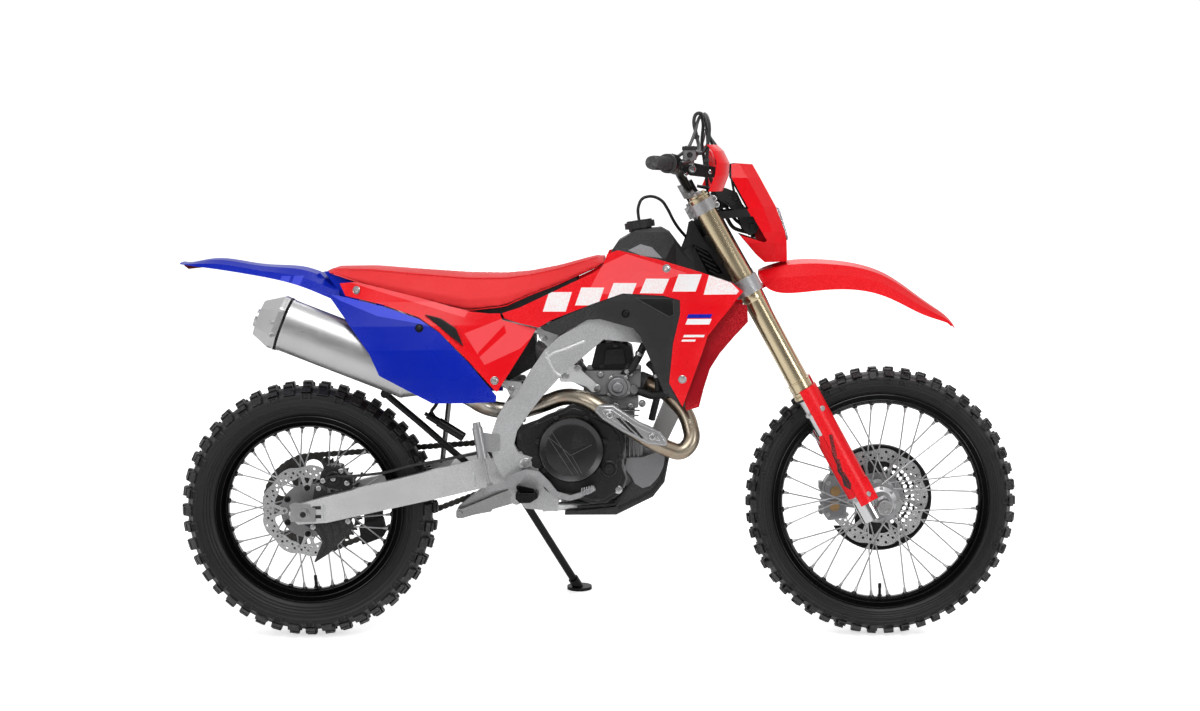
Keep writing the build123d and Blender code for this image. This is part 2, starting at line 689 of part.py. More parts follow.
def silencer():
    """Oval can with a cone and inlet collar in front, and a faceted end cap with its outlet pipe behind."""
    can = extrude(Ellipse(SIL_HALF_H, SIL_HALF_W), CAN_LENGTH)
    mouth = HEADER_R + 5
    cone = loft([
        Pos(0, 0, CAN_LENGTH) * Ellipse(SIL_HALF_H - 1.5, SIL_HALF_W - 1.5),
        Pos(-2, 0, CAN_LENGTH + CONE_LENGTH) * Ellipse(mouth - 1, mouth - 2),
    ])
    inlet = Pos(-2, 0, CAN_LENGTH + CONE_LENGTH) * extrude(Circle(mouth), INLET_LENGTH)
    bore = Pos(-2, 0, CAN_LENGTH + CONE_LENGTH - 10) * extrude(
        Circle(HEADER_R + SEAT_GAP), INLET_LENGTH + 10
    )
    bands = [
        Pos(0, 0, z) * extrude(Ellipse(SIL_HALF_H + 1.2, SIL_HALF_W + 1.2), 9)
        for z in (3, CAN_LENGTH - 14)
    ]
    body = fused([can, cone, inlet] + bands) - bore
    facet = Pos(0, 0, -SEAT_GAP) * extrude(make_face(Polyline(*cap_outline(1.0), close=True)), -16)
    taper = loft([
        Pos(0, 0, -16 - SEAT_GAP) * make_face(Polyline(*cap_outline(1.0), close=True)),
        Pos(-6, 0, -62) * make_face(Polyline(*cap_outline(0.66), close=True)),
    ], ruled=True)
    outlet = Pos(-10, 0, -70) * extrude(Circle(23), 40)
    hole = Pos(-10, 0, -71) * extrude(Circle(19), 45)
    return [SIL * body, SIL * (fused([facet, taper, outlet]) - hole)]


def cap_outline(scale):
    """Eight-sided outline of the end cap, as (up, left) points."""
    h, w = SIL_HALF_H * scale, SIL_HALF_W * scale
    return [
        (h, 0.42 * w), (0.55 * h, w), (-0.5 * h, w), (-h, 0.45 * w), (-h, -0.45 * w), (-0.5 * h, -w),
        (0.55 * h, -w), (h, -0.42 * w)
    ]


def exhaust_header():
    """Header from the front port, round in front of the engine, back along its right side and up to the silencer."""
    end = (SIL * Pos(-2, 0, CAN_LENGTH + CONE_LENGTH)).position
    before = (SIL * Pos(-2, 0, CAN_LENGTH + CONE_LENGTH + 75)).position
    route = [
        PORT + HEADER_OUT * SEAT_GAP, PORT + HEADER_OUT * 48, (982, -86, 588), (998, -104, 522),
        (968, -118, 488), (900, -130, 516),
        (800, -140, 582), (735, -128, 628), (672, -88, 636), (610, -70, 610), (545, -67, 591),
        (468, -80, 603), before, end,
    ]
    return tube(route, HEADER_R)


def heat_shield():
    """Polished shield on the outside of the header, with two slots and two clips that reach the pipe."""
    outline = [
        (748, 604), (758, 620), (796, 620), (860, 576), (914, 551), (932, 521), (926, 514), (883, 519),
        (820, 550), (767, 584)
    ]
    plate = rounded_slab(outline, -168, -165, 4)
    slots = [
        slab([(x, z), (x + 16, z - 12), (x + 24, z + 4), (x + 8, z + 16)], -170, -160)
        for x, z in ((800, 583), (846, 556))
    ]
    lips = rounded_slab(outline, -166, -150, 4) - offset_slab(outline, -170, -140, -3)
    clips = [cross_rod(x, z, -167, -150, 5) for x, z in ((786, 598), (898, 532))]
    heads = [cross_rod(x, z, -171, -167, 6) for x, z in ((786, 598), (898, 532))]
    shield = fused([plate, lips] + clips + heads) - slots
    return shield - tube([
        (998, -104, 520), (968, -118, 486), (900, -130, 516), (800, -140, 582), (735, -128, 628),
        (672, -88, 636),
    ], HEADER_R + SEAT_GAP)


def offset_slab(points, low, high, grow):
    """A slab whose side view is the polygon grown by a distance."""
    face = offset(make_face(Polyline(*points, close=True)), grow)
    return Pos(0, high, 0) * Rot(90, 0, 0) * extrude(face, high - low)


def skid_plate():
    """Plate that wraps the cradle from under the engine up to the down tube, with its side walls."""
    outer = [
        (668, 328), (800, 328), (894, 374), (924, 412), (937, 477), (902, 493), (838, 442), (836, 404),
        (797, 348), (705, 338.5), (668, 338)
    ]
    inner = [
        (660, 334.5), (799, 333), (890, 379), (919, 414), (931, 480), (899, 520), (810, 460), (800, 400),
        (770, 360), (660, 360)
    ]
    body = slab(outer, -92, 92) - slab(inner, -88, 88)
    holes = [rod((x, y, 300), (x, y, 345), 9) for x in (720, 770) for y in (-30, 0, 30)]
    low = CRADLE_Z - CRADLE_R - SEAT_GAP
    pads = [rod((720, y, 332), (720, y, low), 8) for y in (-66, 66)]
    return fused([body - holes] + pads)


def radiators():
    """Two cores with their end tanks, one each side of the frame, with the hoses to the engine on the left."""
    core = slab([(956, 880), (1008, 884), (1010, 670), (966, 664)], -142, -90)
    tanks = [
        slab([(952, 904), (1010, 906), (1012, 878), (952, 874)], -144, -88),
        slab([(960, 672), (1014, 676), (1014, 650), (964, 642)], -144, -88)
    ]
    bracket = cross_rod(978, 852, -92, -50, 7) - spar(SEAT_GAP)
    right = fused([core] + tanks + [bracket.solids().sort_by(Axis.Y)[0]])
    return both_sides(right)


# ---------------------------------------------------------------- rear suspension
ARM_OUT = [(-30, 116), (360, 112), (470, 92), (600, 92)]
ARM_IN = [(600, 66), (500, 66), (440, 82), (-30, 88)]
ARM_SIDE = [
    (-26, 352), (-20, 358), (52, 379), (430, 471), (548, 490), (596, 482), (596, 448), (560, 440),
    (505, 408), (441, 395), (57, 313), (-16, 309), (-26, 318)
]
CALIPER_Y = (-80.0, -39.0)


def swingarm():
    """Two box arms that taper to the rear, their cross member, pivot tube and chain adjuster blocks."""
    arm = slab(ARM_SIDE, -140, 0) & plan([(x, -y) for x, y in ARM_OUT + ARM_IN], 250, 550)
    recess = rounded_slab([(100, 352), (100, 372), (400, 445), (440, 430), (430, 415)], -140, -113.5,
        8) & plan(
        [(60, -200), (60, -113.2), (360, -110), (450, -92), (450, -200)], 250, 550
    )
    member = slab([(372, 452), (470, 470), (470, 410), (372, 390)], -90, 90)
    pivot = cross_rod(*PIVOT, -92, 92, 26)
    slot = slab(
        [
            (-16, REAR_RADIUS - AXLE_R - RUN), (30, REAR_RADIUS - AXLE_R - RUN),
            (30, REAR_RADIUS + AXLE_R + RUN), (-16, REAR_RADIUS + AXLE_R + RUN)
        ],
        -140, 140
    )
    right = arm - recess
    bolt = rod((-40, -102, REAR_RADIUS), (-26, -102, REAR_RADIUS), 6)
    body = fused([right, reflected(right), member, pivot, bolt, reflected(bolt)])
    return body - cross_rod(*PIVOT, -150, 150, 9 + RUN) - slot


def rear_axle():
    """Hollow rear axle with its head, nut, adjuster plates and the spacers that set the wheel between the arms."""
    out = 116.0 + SEAT_GAP
    inner = 87.0
    left = hub_end(REAR_WHEEL, REAR_CARRIERS, 1) + SEAT_GAP
    right = hub_end(REAR_WHEEL, REAR_CARRIERS, -1) + SEAT_GAP
    parts = [
        cross_rod(
            0, REAR_RADIUS, -REAR_AXLE_HALF, REAR_AXLE_HALF, AXLE_R
        ), cross_rod(0, REAR_RADIUS, left, inner, 17),
        cross_rod(0, REAR_RADIUS, -inner, -right, 17),
        slab([(-22, 317), (30, 317), (30, 353), (-22, 353)], out, out + 4), slab(
            [(-22, 317), (30, 317), (30, 353), (-22, 353)], -out - 4, -out
        ),
        cross_rod(0, REAR_RADIUS, out + 4, REAR_AXLE_HALF + 8, 17), cross_rod(
            0, REAR_RADIUS, -REAR_AXLE_HALF - 8, -out - 4, 16
        ),
    ]
    return fused(parts) - cross_rod(0, REAR_RADIUS, -200, 200, AXLE_BORE_R)


def front_axle():
    """Hollow front axle with its head, nut and spacers."""
    x, z = FRONT_AXLE.X, FRONT_AXLE.Z
    inner = LEG_SPACING - LUG_R - SEAT_GAP
    left = hub_end(FRONT_WHEEL, FRONT_CARRIERS, 1) + SEAT_GAP
    right = hub_end(FRONT_WHEEL, FRONT_CARRIERS, -1) + SEAT_GAP
    parts = [
        cross_rod(x, z, -FRONT_AXLE_HALF, FRONT_AXLE_HALF, AXLE_R), cross_rod(x, z, left, inner, 17),
        cross_rod(x, z, -inner, -right, 17), cross_rod(x, z, FRONT_AXLE_HALF, FRONT_AXLE_HALF + 8, 16),
        cross_rod(x, z, -FRONT_AXLE_HALF - 8, -FRONT_AXLE_HALF, 16),
    ]
    return fused(parts) - cross_rod(x, z, -200, 200, AXLE_BORE_R)


def swingarm_pivot():
    """The bolt that the swingarm turns on, through frame and swingarm."""
    face = FRAME_Y + SEAT_GAP
    ends = [cross_rod(*PIVOT, -face - 6, -face, 16), cross_rod(*PIVOT, face, face + 6, 16)]
    return fused([cross_rod(*PIVOT, -face, face, 9)] + ends) - cross_rod(*PIVOT, -200, 200, 5)


def shock_absorber():
    """Rear shock in the middle of the frame: eye, body with its coil's outline, and reservoir."""
    top, foot = Vector(SHOCK_TUBE[0], 0, SHOCK_TUBE[1]), Vector(500, 0, 404)
    length = (top - foot).length
    place = Plane(origin=foot, x_dir=(0, 1, 0), z_dir=top - foot).location
    coils = 8
    low, high = 46.0, length - 44
    pitch = (high - low) / coils
    profile = [(0, 16), (12, 16), (12, 36), (28, 38), (28, low)]
    for i in range(coils):
        profile += [
            (21, low + pitch * (i + 0.05)), (27, low + pitch * (i + 0.3)), (27, low + pitch * (i + 0.65)),
            (21, low + pitch * (i + 0.95))
        ]
    profile += [
        (28, high), (28, high + 8), (15, high + 12), (15, length - SHOCK_TUBE_R - 5),
        (0, length - SHOCK_TUBE_R - 5)
    ]
    body = revolve(Plane.XZ * make_face(Polyline(*profile, close=True)), axis=Axis.Z)
    eye = cross_rod(*SHOCK_TUBE, -13, 13, SHOCK_TUBE_R + 8) - cross_rod(
        *SHOCK_TUBE, -20, 20, SHOCK_TUBE_R + SEAT_GAP
    )
    fork = rod(foot + Vector(0, -12, 0), foot + Vector(0, 12, 0), 13)
    lower = place * Pos(0, 0, 2) * extrude(Circle(10), 20)
    return fused([place * body, eye, fork, lower]) - cross_rod(foot.X, foot.Z, -20, 20, 6 + SEAT_GAP)


def shock_linkage():
    """Rocker under the swingarm, with its pins, and the pull rods that join it to the frame."""
    cheek = rounded_slab(
        [(384, 312), (398, 312), (474, 326), (512, 396), (506, 414), (492, 414), (430, 372), (386, 336)],
        13, 19, 4
    )
    pins = [
        cross_rod(500, 404, -19, 19, 6), cross_rod(394, 324, -44, 44, 7), cross_rod(440, 352, -19, 19, 9)
    ]
    link = rounded_slab(
        [(384, 312), (384, 334), (404, 338), (536, 392), (560, 388), (562, 362), (545, 354), (400, 312)],
        30, 40, 5
    )
    link -= cross_rod(*LINK_TUBE, -200, 200, LINK_TUBE_R + SEAT_GAP)
    member = slab([(372, 452), (470, 470), (470, 410), (372, 390)], -90, 90)
    return fused([cheek, reflected(cheek)] + pins + [link, reflected(link)]) - member


# ---------------------------------------------------------------- bodywork
PANEL_T = 3.0
TANK_SIDE = [
    (776, 884), (787, 960), (791, 1001), (810, 1029), (855, 1055), (919, 1062), (940, 1050), (1014, 950),
    (1010, 915), (960, 880),
]
TANK_PLAN = [(774, 84), (830, 112), (900, 117), (932, 110), (956, 80), (1004, 63), (1018, 54)]
TANK_FRONT = [(118, 880), (118, 975), (96, 1012), (60, 1050), (40, 1063)]
FILLER = (866, 1052)


def tank_body():
    """Plastic tank over and between the spars."""
    body = slab(TANK_SIDE, -130, 130) & plan(
        TANK_PLAN + [(x, -y) for x, y in reversed(TANK_PLAN)], 860, 1080
    )
    body &= across(
        [(y, z) for y, z in TANK_FRONT] + [(-y, z) for y, z in reversed(TANK_FRONT)], 760, 1030
    )
    room = spar(0.8)
    below = slab([(780, 700), (870, 925), (1000, 1015), (1100, 1000), (1100, 700)], -30, 30)
    legs = [
        FORK * Rot(0, 0, s * STEER_LOCK) * Pos(
            CLAMP_OFFSET, s * LEG_SPACING, 600
        ) * extrude(Circle(FORK_OUTER_R + 6), 400)
        for s in (1, -1)
    ]
    body -= [room, reflected(room), below, cross_rod(985, 850, -60, 60, 18)] + legs
    return body.solids().sort_by(SortBy.VOLUME)[-1]


def tank_cap():
    """Screw cap with a finger grip, on the tank's filler neck."""
    neck = Circle(30)
    cap = [
        Pos(0, 0, 8) * extrude(Circle(39), 16), Pos(0, 0, 24) * extrude(Circle(33), 4), extrude(neck, 10)
    ]
    place = Pos(FILLER[0], 0, FILLER[1]) * Rot(0, -8, 0)
    notches = [Rot(0, 0, 30 * i) * Pos(40, 0, 14) * Cylinder(3.2, 20) for i in range(12)]
    return place * (fused(cap) - notches) - tank_body()


VENT_ROUTE = [
    (862.05, 0, 1080.0), (858.2, 0, 1107.7), (868, 6, 1136), (896, 10, 1142), (922, 12, 1130),
    (938, 14, 1104), (950, 17, 1078),
    (966, 20, 1054), (984, 30, 1034),
]


def vent_hose():
    """Breather hose from the tank's cap to the head tube."""
    return tube(VENT_ROUTE, 4)


SHROUD = [
    (782, 998), (809, 1007), (919, 982), (1017, 953), (1097, 925), (1124, 904), (1109, 887), (1034, 793),
    (1028, 773),
    (1011, 721), (970, 612), (956, 638), (937, 673), (947, 773), (965, 848), (965, 883), (924, 894),
    (821, 899),
    (743, 872), (640, 832), (607, 813), (563, 823), (521, 836), (514, 849), (558, 863), (640, 901),
    (743, 949), (769, 965),
]
SHROUD_LEVELS = [
    (1010, [(1130, 158), (1040, 158), (940, 142), (850, 124), (760, 112), (640, 104), (500, 100)]),
    (950, [(1130, 166), (1040, 172), (940, 160), (850, 138), (760, 120), (640, 106), (500, 102)]),
    (880, [(1130, 170), (1040, 180), (940, 172), (850, 152), (760, 134), (640, 122), (500, 112)]),
    (800, [(1130, 168), (1040, 178), (940, 172), (850, 156), (760, 142), (640, 134), (500, 131)]),
    (700, [(1130, 160), (1040, 166), (940, 166), (850, 156), (760, 146), (640, 138), (500, 133)]),
    (600, [(1130, 152), (1040, 156), (940, 156), (850, 152), (760, 146), (640, 138), (500, 133)]),
]
COVER = [
    (612, 812), (673, 843), (763, 883), (801, 903), (924, 898), (968, 886), (968, 848), (951, 772),
    (942, 673), (968, 616),
    (924, 648), (864, 792), (846, 812), (763, 834), (732, 832), (655, 794), (620, 806),
]


def lowered(levels, depth):
    """The same levels, further in by depth."""
    return [(z, [(x, y - depth) for x, y in curve]) for z, curve in levels]


WING = [
    (952, 800), (1010, 872), (1080, 880), (1134, 868), (1136, 826), (1100, 788), (1065, 747), (1040, 708),
    (1024, 658), (1012, 611),
    (979, 602), (974, 640), (962, 700),
]
WING_Y = (-152.0, -149.0)


def radiator_shrouds():
    """Shrouds from the seat forward over the radiators, each on a boss of its radiator, with an inner wing."""
    panel = skin(SHROUD_LEVELS, SHROUD, PANEL_T)
    boss = cross_rod(984, 690, -170, -144.3, 7) & skin(
        SHROUD_LEVELS, [(940, 650), (940, 740), (1030, 740), (1030, 650)], 40
    )
    wing = slab(WING, *WING_Y)
    rib = slab([(985, 840), (1080, 852), (1080, 848), (985, 836)], -172, WING_Y[0])
    rib &= skin(SHROUD_LEVELS, [(940, 780), (940, 900), (1110, 900), (1110, 780)], 40)
    return both_sides(fused([panel, boss, wing, rib]))


def shroud_covers():
    """Dark covers inside the shrouds' lower edges, over the spars."""
    inner = lowered(SHROUD_LEVELS, PANEL_T + SEAT_GAP)
    panel = skin(inner, COVER, PANEL_T)
    boss = cross_rod(700, 822, -150, -100, 7) & skin(
        inner, [(680, 790), (680, 850), (720, 850), (720, 790)], 40
    )
    panel = fused([panel, boss - spar(SEAT_GAP)])
    return both_sides(panel.solids().sort_by(SortBy.VOLUME)[-1])


SEAT_SECTIONS = [  # x, top, bottom, half width at the bottom, half width at the top
    (57, 962, 956, 88, 74), (115, 966, 936, 98, 80), (180, 967, 914, 104, 84), (298, 958, 880.6, 108, 82),
    (
        425, 949, 851.3, 110, 80
    ), (520, 947, 862, 106, 76), (584, 952, 890, 100, 72), (659, 966, 918, 94, 66),
    (724, 983, 948, 92, 60), (779, 997, 972, 92, 56),
]


def seat():
    """Long seat, foam and base in one, with a rounded top."""
    faces = []
    for x, top, bottom, wide, narrow in SEAT_SECTIONS:
        h = top - bottom
        points = [(-wide, bottom), (-wide, bottom + 0.3 * h), (-narrow, top - 0.12 * h), (0, top)]
        points += [(-y, z) for y, z in reversed(points[:-1])]
        faces.append(
            Pos(x, 0, 0) * Rot(90, 0, 0) * Rot(0, 90, 0) * make_face(Polyline(*points, close=True))
        )
    return loft(faces, ruled=True)


SIDE_PANEL = [
    (101, 927), (139, 930), (179, 922), (305, 890), (430, 855), (481, 849), (509, 849), (515, 832),
    (600, 809), (581, 775),
    (531, 697), (501, 651), (495, 654), (430, 731), (355, 807), (305, 842), (211, 874), (117, 896),
]
PLATE = [
    (70, 901), (120, 892), (214, 869), (307, 837), (357, 803), (432, 724), (499, 640), (497, 625),
    (432, 624), (339, 625),
    (206, 697), (182, 752), (151, 796), (114, 846),
]
REAR_LEVELS = [
    (935, [(610, 108), (520, 110), (425, 113), (300, 112), (180, 109), (60, 102)]),
    (880, [(610, 112), (520, 116), (425, 122), (300, 126), (180, 130), (60, 126)]),
    (820, [(610, 118), (520, 126), (425, 140), (300, 158), (180, 166), (60, 168)]),
    (760, [(610, 130), (520, 132), (425, 152), (300, 174), (180, 179), (60, 178)]),
    (690, [(610, 134), (520, 138), (425, 160), (300, 178), (180, 180), (60, 176)]),
    (620, [(610, 134), (520, 138), (425, 158), (300, 172), (180, 172), (60, 168)]),
]


def side_panels():
    """Red panels under the seat on both sides, with a vent and bosses that reach the subframe."""
    panel = skin(REAR_LEVELS, SIDE_PANEL, PANEL_T)
    vent = rounded_slab([(324, 848), (361, 838), (397, 812), (412, 778), (386, 794)], -260, 0, 3)
    slats = [
        slab(
            [(316 + 22 * i, 862), (322 + 22 * i, 862), (352 + 22 * i, 770), (346 + 22 * i, 770)], -260, 0
        )
        for i in range(4)
    ]
    grille = skin(
        lowered(REAR_LEVELS, 1.5), [(318, 856), (418, 828), (418, 772), (386, 787)], 1.5
    ) & fused(slats)
    high = rod((148, -122, 909), (170, -70, 899), 6) - tube(UPPER_RAIL, RAIL_R + SEAT_GAP, 200)
    low = rod((497, -140, 684), (497, -90, 682), 6) - tube(LOWER_RAIL, RAIL_R + SEAT_GAP, 200)
    low = low.solids().sort_by(Axis.Y)[0]
    return both_sides(fused([panel - vent, grille, high, low]))


def number_plates():
    """Blue side plates behind the red panels, outside the silencer, each with a boss on the subframe."""
    panel = skin(lowered(REAR_LEVELS, 0.5), PLATE, PANEL_T)
    boss = rod((307, -158, 815), (307, -78, 807), 6) - tube(LOWER_RAIL, RAIL_R + SEAT_GAP, 200)
    return both_sides(fused([panel, boss]))


def airbox():
    """Air box under the seat with the mud flap in front of the rear wheel."""
    box = rounded_slab(
        [
            (372, 812), (440, 818), (520, 812), (590, 788), (593.7, 780), (593.7, 708), (560, 690),
            (520, 668), (440, 644), (372, 690)
        ],
        -58, 58, 8
    )
    flap = slab([(372, 700), (362, 605), (344, 459), (350, 458), (368, 604), (379, 700)], -48, 48)
    return fused([box, flap]) - cross_rod(470, 830, -80, 80, 12) - rod(
        (500, 0, 404), (SHOCK_TUBE[0], 0, SHOCK_TUBE[1] + 8), 38
    )


REAR_FENDER = [
    (-319, 980, 976, 48), (-278, 982, 970, 58), (-203, 988, 960, 66), (-135, 977, 949, 72),
    (-34, 969, 928, 80), (40, 952, 902, 86),
    (96, 934, 880, 90),
]
FRONT_FENDER = [
    (1169, 951, 936, 40), (1190, 960, 905, 50), (1246, 974, 892, 58), (1342, 975, 900, 62),
    (1454, 955, 893, 62), (1540, 909, 858, 58),
    (1610, 858, 826, 50), (1669, 805, 797, 38),
]


def rear_fender():
    """Rear fender, an arched channel that rises to the tail, with the tray that ties it to the subframe."""
    shell = arch(REAR_FENDER, PANEL_T)
    tray = slab(
        [(44, 951), (60, 929), (188, 907), (188, 902.4), (158, 902.4), (56, 924), (36, 948)], -50, 50
    )
    return fused([shell, tray])


def tail_light():
    """Lamp let into the underside of the fender's tail."""
    return rounded_slab(
        [(-316, 975), (-232, 979.5), (-222, 970), (-300, 962)], -30, 30, 3
    ) - arch_room(REAR_FENDER)


def arch_room(sections):
    """The room of a fender's shell, grown by a seat's gap."""
    return arch(sections, PANEL_T + SEAT_GAP)


# ---------------------------------------------------------------- controls on the frame
def footpegs():
    """Toothed footpegs on their brackets, which are bolted to the pivot plates."""
    bracket = rounded_slab(PEG_PLATE, -136, -FRAME_Y - SEAT_GAP, 5)
    peg = slab([(548, 398), (604, 398), (604, 386), (584, 374), (558, 374), (548, 384)], -192, -134)
    gap = slab([(558, 410), (594, 410), (594, 386), (558, 386)], -186, -146)
    teeth = [slab([(x, 397), (x + 4, 404), (x + 8, 397)], -190, -142) for x in (549, 594)]
    return both_sides(fused([bracket, peg - gap] + teeth))


def brake_pedal():
    """Rear brake pedal on its pivot, curved round under the clutch cover, with its toothed tip."""
    arm = rounded_slab([
        (476, 398), (476, 412), (520, 424), (533, 440), (572, 455), (606, 450), (632, 424), (652, 398),
        (686, 388),
        (712, 396), (742, 412), (745, 402), (712, 382), (684, 374), (645, 382), (618, 412), (598, 437),
        (574, 441), (548, 412), (520, 404),
    ], -158, -151, 2)
    pivot = cross_rod(538, 422, -160, -FRAME_Y - SEAT_GAP, 12)
    tip = rounded_slab([(722, 402), (744, 414), (750, 402), (728, 390)], -166, -146, 2)
    return fused([arm, pivot, tip])


def master_cylinder():
    """Rear brake master cylinder on the outside of the pivot plate, with its push rod."""
    body = rod((449, -138, 560), (462, -138, 482), 13)
    cap = rod((447, -138, 572), (449, -138, 560), 10)
    ear = slab([(450, 548), (504, 540), (504, 500), (456, 494)], -134, -FRAME_Y - SEAT_GAP)
    push = rod((462, -138, 484), (480, -147, 405), 4)
    clevis = rounded_slab([(472, 396), (472, 420), (488, 420), (488, 396)], -150.7, -143, 3)
    return fused([body, cap, ear, push, clevis])


def gear_lever():
    """Gear lever on its shaft, low on the left of the engine, with a folding tip."""
    arm = rounded_slab(
        [(650, 404), (662, 418), (700, 396), (786, 384), (786, 372), (698, 380), (656, 396)], 118, 125, 2
    )
    shaft = cross_rod(660, 405, CASE_Y + SEAT_GAP, 128, 8)
    tip = cross_rod(781, 378, 122, 150, 7)
    return fused([arm, shaft, tip])


def rear_caliper():
    """Rear brake caliper on its carrier, which hangs on the axle's spacer."""
    low, high = CALIPER_Y
    body = rounded_slab(
        [(26, 404), (44, 458), (94, 452), (124, 408), (112, 384), (60, 392)], low, high, 7
    )
    carrier = slab(
        [(-18, 316), (18, 316), (96, 384), (112, 400), (60, 410), (26, 404), (-18, 354)], low - 5, low
    )
    mouth = cross_rod(0, REAR_RADIUS, -50 - REAR_DISC_T - 1.5, -50 + 1.5, 125)
    return fused([body, carrier]) - mouth - cross_rod(0, REAR_RADIUS, -200, 200, 17 + SEAT_GAP)


def rear_disc_guard():
    """Fin below the swingarm that covers the disc's lower edge."""
    return rounded_slab(
        [
            (-8, 309), (57, 312.6), (116, 325), (126, 300), (110, 280), (60, 230), (20, 205), (44, 262),
            (28, 288)
        ],
        -98, -91, 2
    )


def chain_guide():
    """Guide that hangs from the swingarm and leads the chain on to the sprocket between two cheeks."""
    gap = CHAIN_GAP / 2 + CHAIN_PLATE_T + 1.5
    cheeks = [(CHAIN_Y - gap - 3, CHAIN_Y - gap), (CHAIN_Y + gap, CHAIN_Y + gap + 3)]
    parts = [
        rounded_slab([(118, 276), (182, 300), (190, 262), (180, 246), (126, 226)], low, high, 4)
        for low, high in cheeks
    ]
    parts.append(slab([(124, 236), (184, 258), (184, 251), (126, 229)], cheeks[0][0], cheeks[1][1]))
    parts.append(
        slab([(130, 328.0), (180, 338.4), (180, 296), (130, 278)], cheeks[1][0], cheeks[1][1] + 5)
    )
    parts.append(slab([(130, 328.0), (180, 338.4), (180, 331), (130, 320)], cheeks[1][1], 106))
    chain_room = slab([(100, 222), (200, 259), (200, 278), (100, 241)], CHAIN_Y - gap, CHAIN_Y + gap)
    return [fused(parts) - chain_room]


def stand_foot():
    """Middle of the stand's foot, on the ground, in the bike frame."""
    on_ground = Pos(STAND_FOOT_X - BOX_CENTRE_X, STAND_FOOT_OUT - BOX_CENTRE_Y, 0)
    return (PARK.inverse() * on_ground).position


def stand_fold():
    """Axis and angle that take the stand's leg from the ground to its folded place."""
    down = (stand_foot() - Vector(*STAND_PIVOT)).normalized()
    folded = Vector(*STAND_FOLDED).normalized()
    return down.cross(folded).normalized(), down.get_angle(folded)


def side_stand():
    """Side stand leg with its boss on the frame's pin, and its foot flat on the ground."""
    foot, pivot, axis = stand_foot(), Vector(*STAND_PIVOT), stand_fold()[0]
    leg = rod(pivot, foot + (pivot - foot).normalized() * 14, 10.5)
    on_ground = Pos(STAND_FOOT_X - BOX_CENTRE_X, STAND_FOOT_OUT - BOX_CENTRE_Y, 0)
    pad = PARK.inverse() * on_ground * extrude(Ellipse(34, 24), 9)
    ankle = rod(foot + (pivot - foot).normalized() * 6, foot + (pivot - foot).normalized() * 40, 14)
    boss = rod(pivot - axis * STAND_BOSS_HALF, pivot + axis * STAND_BOSS_HALF, STAND_BOSS_R)
    below = PARK.inverse() * on_ground * Pos(0, 0, -40) * Box(200, 200, 80)
    return fused([leg, pad, ankle, boss]) - below - rod(
        pivot - axis * 30, pivot + axis * 30, STAND_PIN_R + RUN
    )


# ---------------------------------------------------------------- fork and bars, in the steering frame
UPPER_CLAMP = (876.0, 906.0)
LOWER_CLAMP = (641.0, 684.0)
OUTER_TUBE = (344.0, 916.0)
LUG_TOP = 46.0
LUG_R = FORK_SLIDER_R + 4
GUARD_OUT_R, GUARD_IN_R = 36.0, 32.5


def fork_tubes():
    """Gold outer tubes of the upside-down fork, with their wipers and top caps."""
    low, high = OUTER_TUBE
    bore = FORK_SLIDER_R + SEAT_GAP
    profile = [
        (bore, low), (29.5, low), (29.5, low + 14), (
            FORK_OUTER_R, low + 17
        ), (FORK_OUTER_R, high), (24, high + 3), (24, high + 8),
        (0, high + 8), (0, low + 60), (bore, low + 60),
    ]
    leg = revolve(Plane.XZ * make_face(Polyline(*profile, close=True)), axis=Axis.Z)
    nut = Pos(0, 0, high + 8) * extrude(RegularPolygon(9, 6), 5)
    return both_sides(FORK * Pos(CLAMP_OFFSET, -LEG_SPACING, 0) * fused([leg, nut]))


def slider(side):
    """One chromed slider with its axle lug; the left one also carries the caliper."""
    leg = Pos(CLAMP_OFFSET, -LEG_SPACING, 20) * extrude(Circle(FORK_SLIDER_R), OUTER_TUBE[0] + 30)
    lug = Pos(CLAMP_OFFSET, -LEG_SPACING, -14) * extrude(Circle(LUG_R), LUG_TOP + 14)
    ear = Pos(STEER_TO_AXLE - 8, -LEG_SPACING, 0) * Rot(90, 0, 0) * extrude(
        RectangleRounded(52, 44, 10), 20, both=True
    )
    slot = Pos(STEER_TO_AXLE, -LEG_SPACING, -14) * Box(2.5, 60, 30)
    bolts = [
        Pos(STEER_TO_AXLE - 16, -LEG_SPACING + y, -16) * Rot(0, 90, 0) * Cylinder(4, 40)
        for y in (-11, 11)
    ]
    made = FORK * (fused([leg, lug, ear] + bolts) - slot)
    made -= cross_rod(FRONT_AXLE.X, FRONT_AXLE.Z, -200, 200, AXLE_R + RUN)
    if side > 0:
        made = reflected(made)
        mount = rounded_slab([(1389, 380), (1428, 384), (1432, 316), (1389, 320)], 82.3, 104, 3)
        made = fused([made, mount])
    return made


def fork_sliders():
    """Both sliders."""
    return [slider(-1), slider(1)]


